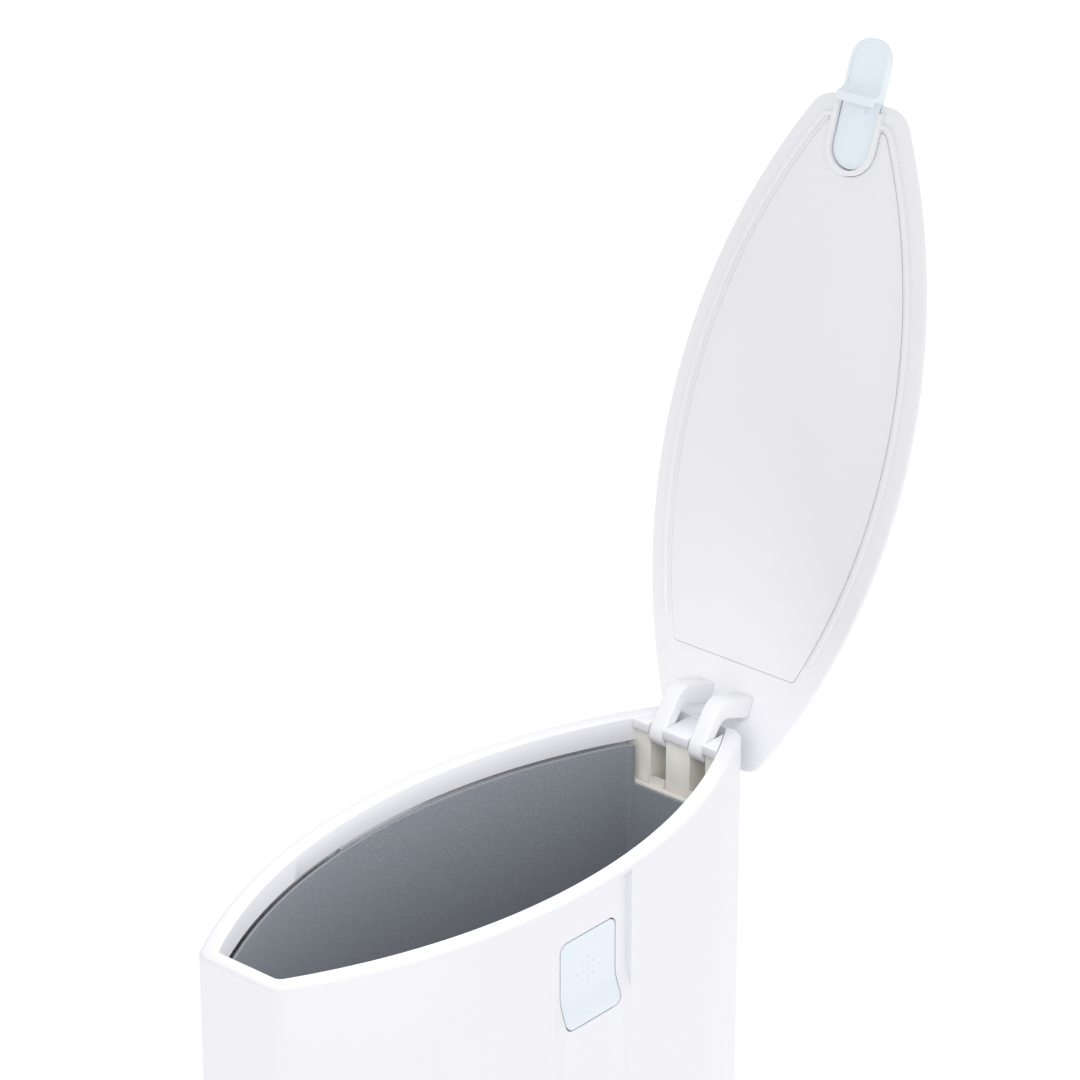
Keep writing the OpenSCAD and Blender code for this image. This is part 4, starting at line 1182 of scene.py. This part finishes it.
class BIN_OT_dress_metalwork(bpy.types.Operator):
    """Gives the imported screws, pins, springs, levers and guides their finishes"""
    bl_idname = "bin.dress_metalwork"
    bl_label = "Metalwork and Base"

    def execute(self, context):
        for finish, names in METAL.items():
            for name in names:
                node = frame["nodes"][name]
                for part in [node] + list(node.children):
                    if part.type == "MESH":
                        for slot in part.material_slots:
                            slot.material = material(finish)
        return {"FINISHED"}


# ---------------------------------------------------------------- stage

def aim(obj, target):
    """Points an object's -Z at a place, with +Y up."""
    obj.rotation_euler = (Vector(target) - obj.location).to_track_quat("-Z", "Y").to_euler()


def lamp(name, where, target, size, power, thin=None):
    """Adds a round lamp, or a strip where thin gives its width."""
    data = bpy.data.lights.new(name, "AREA")
    data.shape = "RECTANGLE" if thin else "DISK"
    data.size = size
    if thin:
        data.size_y = thin
    data.energy = power
    obj = bpy.data.objects.new(name, data)
    obj.location = where
    obj.visible_camera = False
    bpy.context.scene.collection.objects.link(obj)
    aim(obj, target)


class BIN_OT_stage(bpy.types.Operator):
    """Builds the floor, the lamps and the camera"""
    bl_idname = "bin.stage"
    bl_label = "Stage"

    def execute(self, context):
        stage = context.scene.bin_stage
        az, el = stage.azimuth, stage.elevation
        back = Vector((math.sin(az) * math.cos(el), -math.cos(az) * math.cos(el), math.sin(el)))
        right = Vector((math.cos(az), math.sin(az), 0.0))
        up = back.cross(right)
        middle = Vector((0.0, 0.004, RIM_Z))
        data = bpy.data.cameras.new("view")
        data.lens = stage.lens
        data.sensor_width = 36.0
        data.dof.use_dof = False
        camera = bpy.data.objects.new("view", data)
        camera.location = middle + back * stage.distance + right * stage.shift_right + up * stage.shift_up
        camera.rotation_euler = Matrix((right, up, back)).transposed().to_euler()
        context.scene.collection.objects.link(camera)
        context.scene.camera = camera

        bm = bmesh.new()
        bmesh.ops.create_grid(bm, x_segments=1, y_segments=1, size=12.0)
        floor = finish_mesh(bm, "floor")
        paper = new_material("matt_white_backdrop")
        shader = add_node(paper.node_tree, "ShaderNodeBsdfPrincipled", Roughness=0.9)
        shader.inputs["Base Color"].default_value = linear("FFFFFF")
        shader.inputs["Emission Color"].default_value = linear("FFFFFF")
        shader.inputs["Emission Strength"].default_value = 0.2
        finish_material(paper.node_tree, shader)
        floor.data.materials.append(paper)

        world = bpy.data.worlds.new("white_room")
        world.use_nodes = True
        world.node_tree.nodes.clear()
        sky = add_node(world.node_tree, "ShaderNodeBackground", Strength=stage.room_light)
        sky.inputs["Color"].default_value = (1.0, 1.0, 1.0, 1.0)
        add_node(world.node_tree, "ShaderNodeOutputWorld", links=[("Surface", sky.outputs[0])])
        context.scene.world = world

        context.scene.view_settings.view_transform = "Standard"
        lamp("key", (2.4, -1.5, 2.5), (0.0, 0.0, 0.55), 1.6, stage.key_light)
        lamp("mouth", (0.06, -0.02, 0.61), (-0.08, -0.02, 0.51), 0.3, stage.mouth_light, thin=0.02)
        return {"FINISHED"}


# ---------------------------------------------------------------- panel

class BIN_PT_panel(bpy.types.Panel):
    """Lists the builders of the pedal bin"""
    bl_idname = "BIN_PT_panel"
    bl_label = "Pedal Bin"
    bl_space_type = "VIEW_3D"
    bl_region_type = "UI"
    bl_category = "Pedal Bin"

    def draw(self, context):
        layout = self.layout
        scene = context.scene
        for label in ("Shell", "Lid", "Stage"):
            settings = getattr(scene, "bin_" + label.lower())
            box = layout.box()
            box.label(text=label)
            for name in settings.__annotations__:
                box.prop(settings, name)
        column = layout.column(align=True)
        for operator in OPERATORS:
            column.operator(operator.bl_idname)


SETTINGS = (BinShellSettings, BinLidSettings, BinStageSettings)
OPERATORS = (BIN_OT_outer_body, BIN_OT_inner_bucket, BIN_OT_hinge_housing, BIN_OT_hinge_arms, BIN_OT_lid,
             BIN_OT_latch_tab, BIN_OT_side_buttons, BIN_OT_pedal_tread, BIN_OT_dress_metalwork, BIN_OT_stage)
CLASSES = SETTINGS + OPERATORS + (BIN_PT_panel,)


def register():
    for cls in CLASSES:
        bpy.utils.register_class(cls)
    bpy.types.Scene.bin_shell = PointerProperty(type=BinShellSettings)
    bpy.types.Scene.bin_lid = PointerProperty(type=BinLidSettings)
    bpy.types.Scene.bin_stage = PointerProperty(type=BinStageSettings)


def unregister():
    del bpy.types.Scene.bin_stage
    del bpy.types.Scene.bin_lid
    del bpy.types.Scene.bin_shell
    for cls in reversed(CLASSES):
        bpy.utils.unregister_class(cls)


def main():
    register()
    bpy.ops.bin.outer_body()
    bpy.ops.bin.inner_bucket()
    bpy.ops.bin.hinge_housing()
    bpy.ops.bin.hinge_arms()
    bpy.ops.bin.lid()
    bpy.ops.bin.latch_tab()
    bpy.ops.bin.side_buttons()
    bpy.ops.bin.pedal_tread()
    bpy.ops.bin.dress_metalwork()
    bpy.ops.bin.stage()


if __name__ == "__main__":
    main()
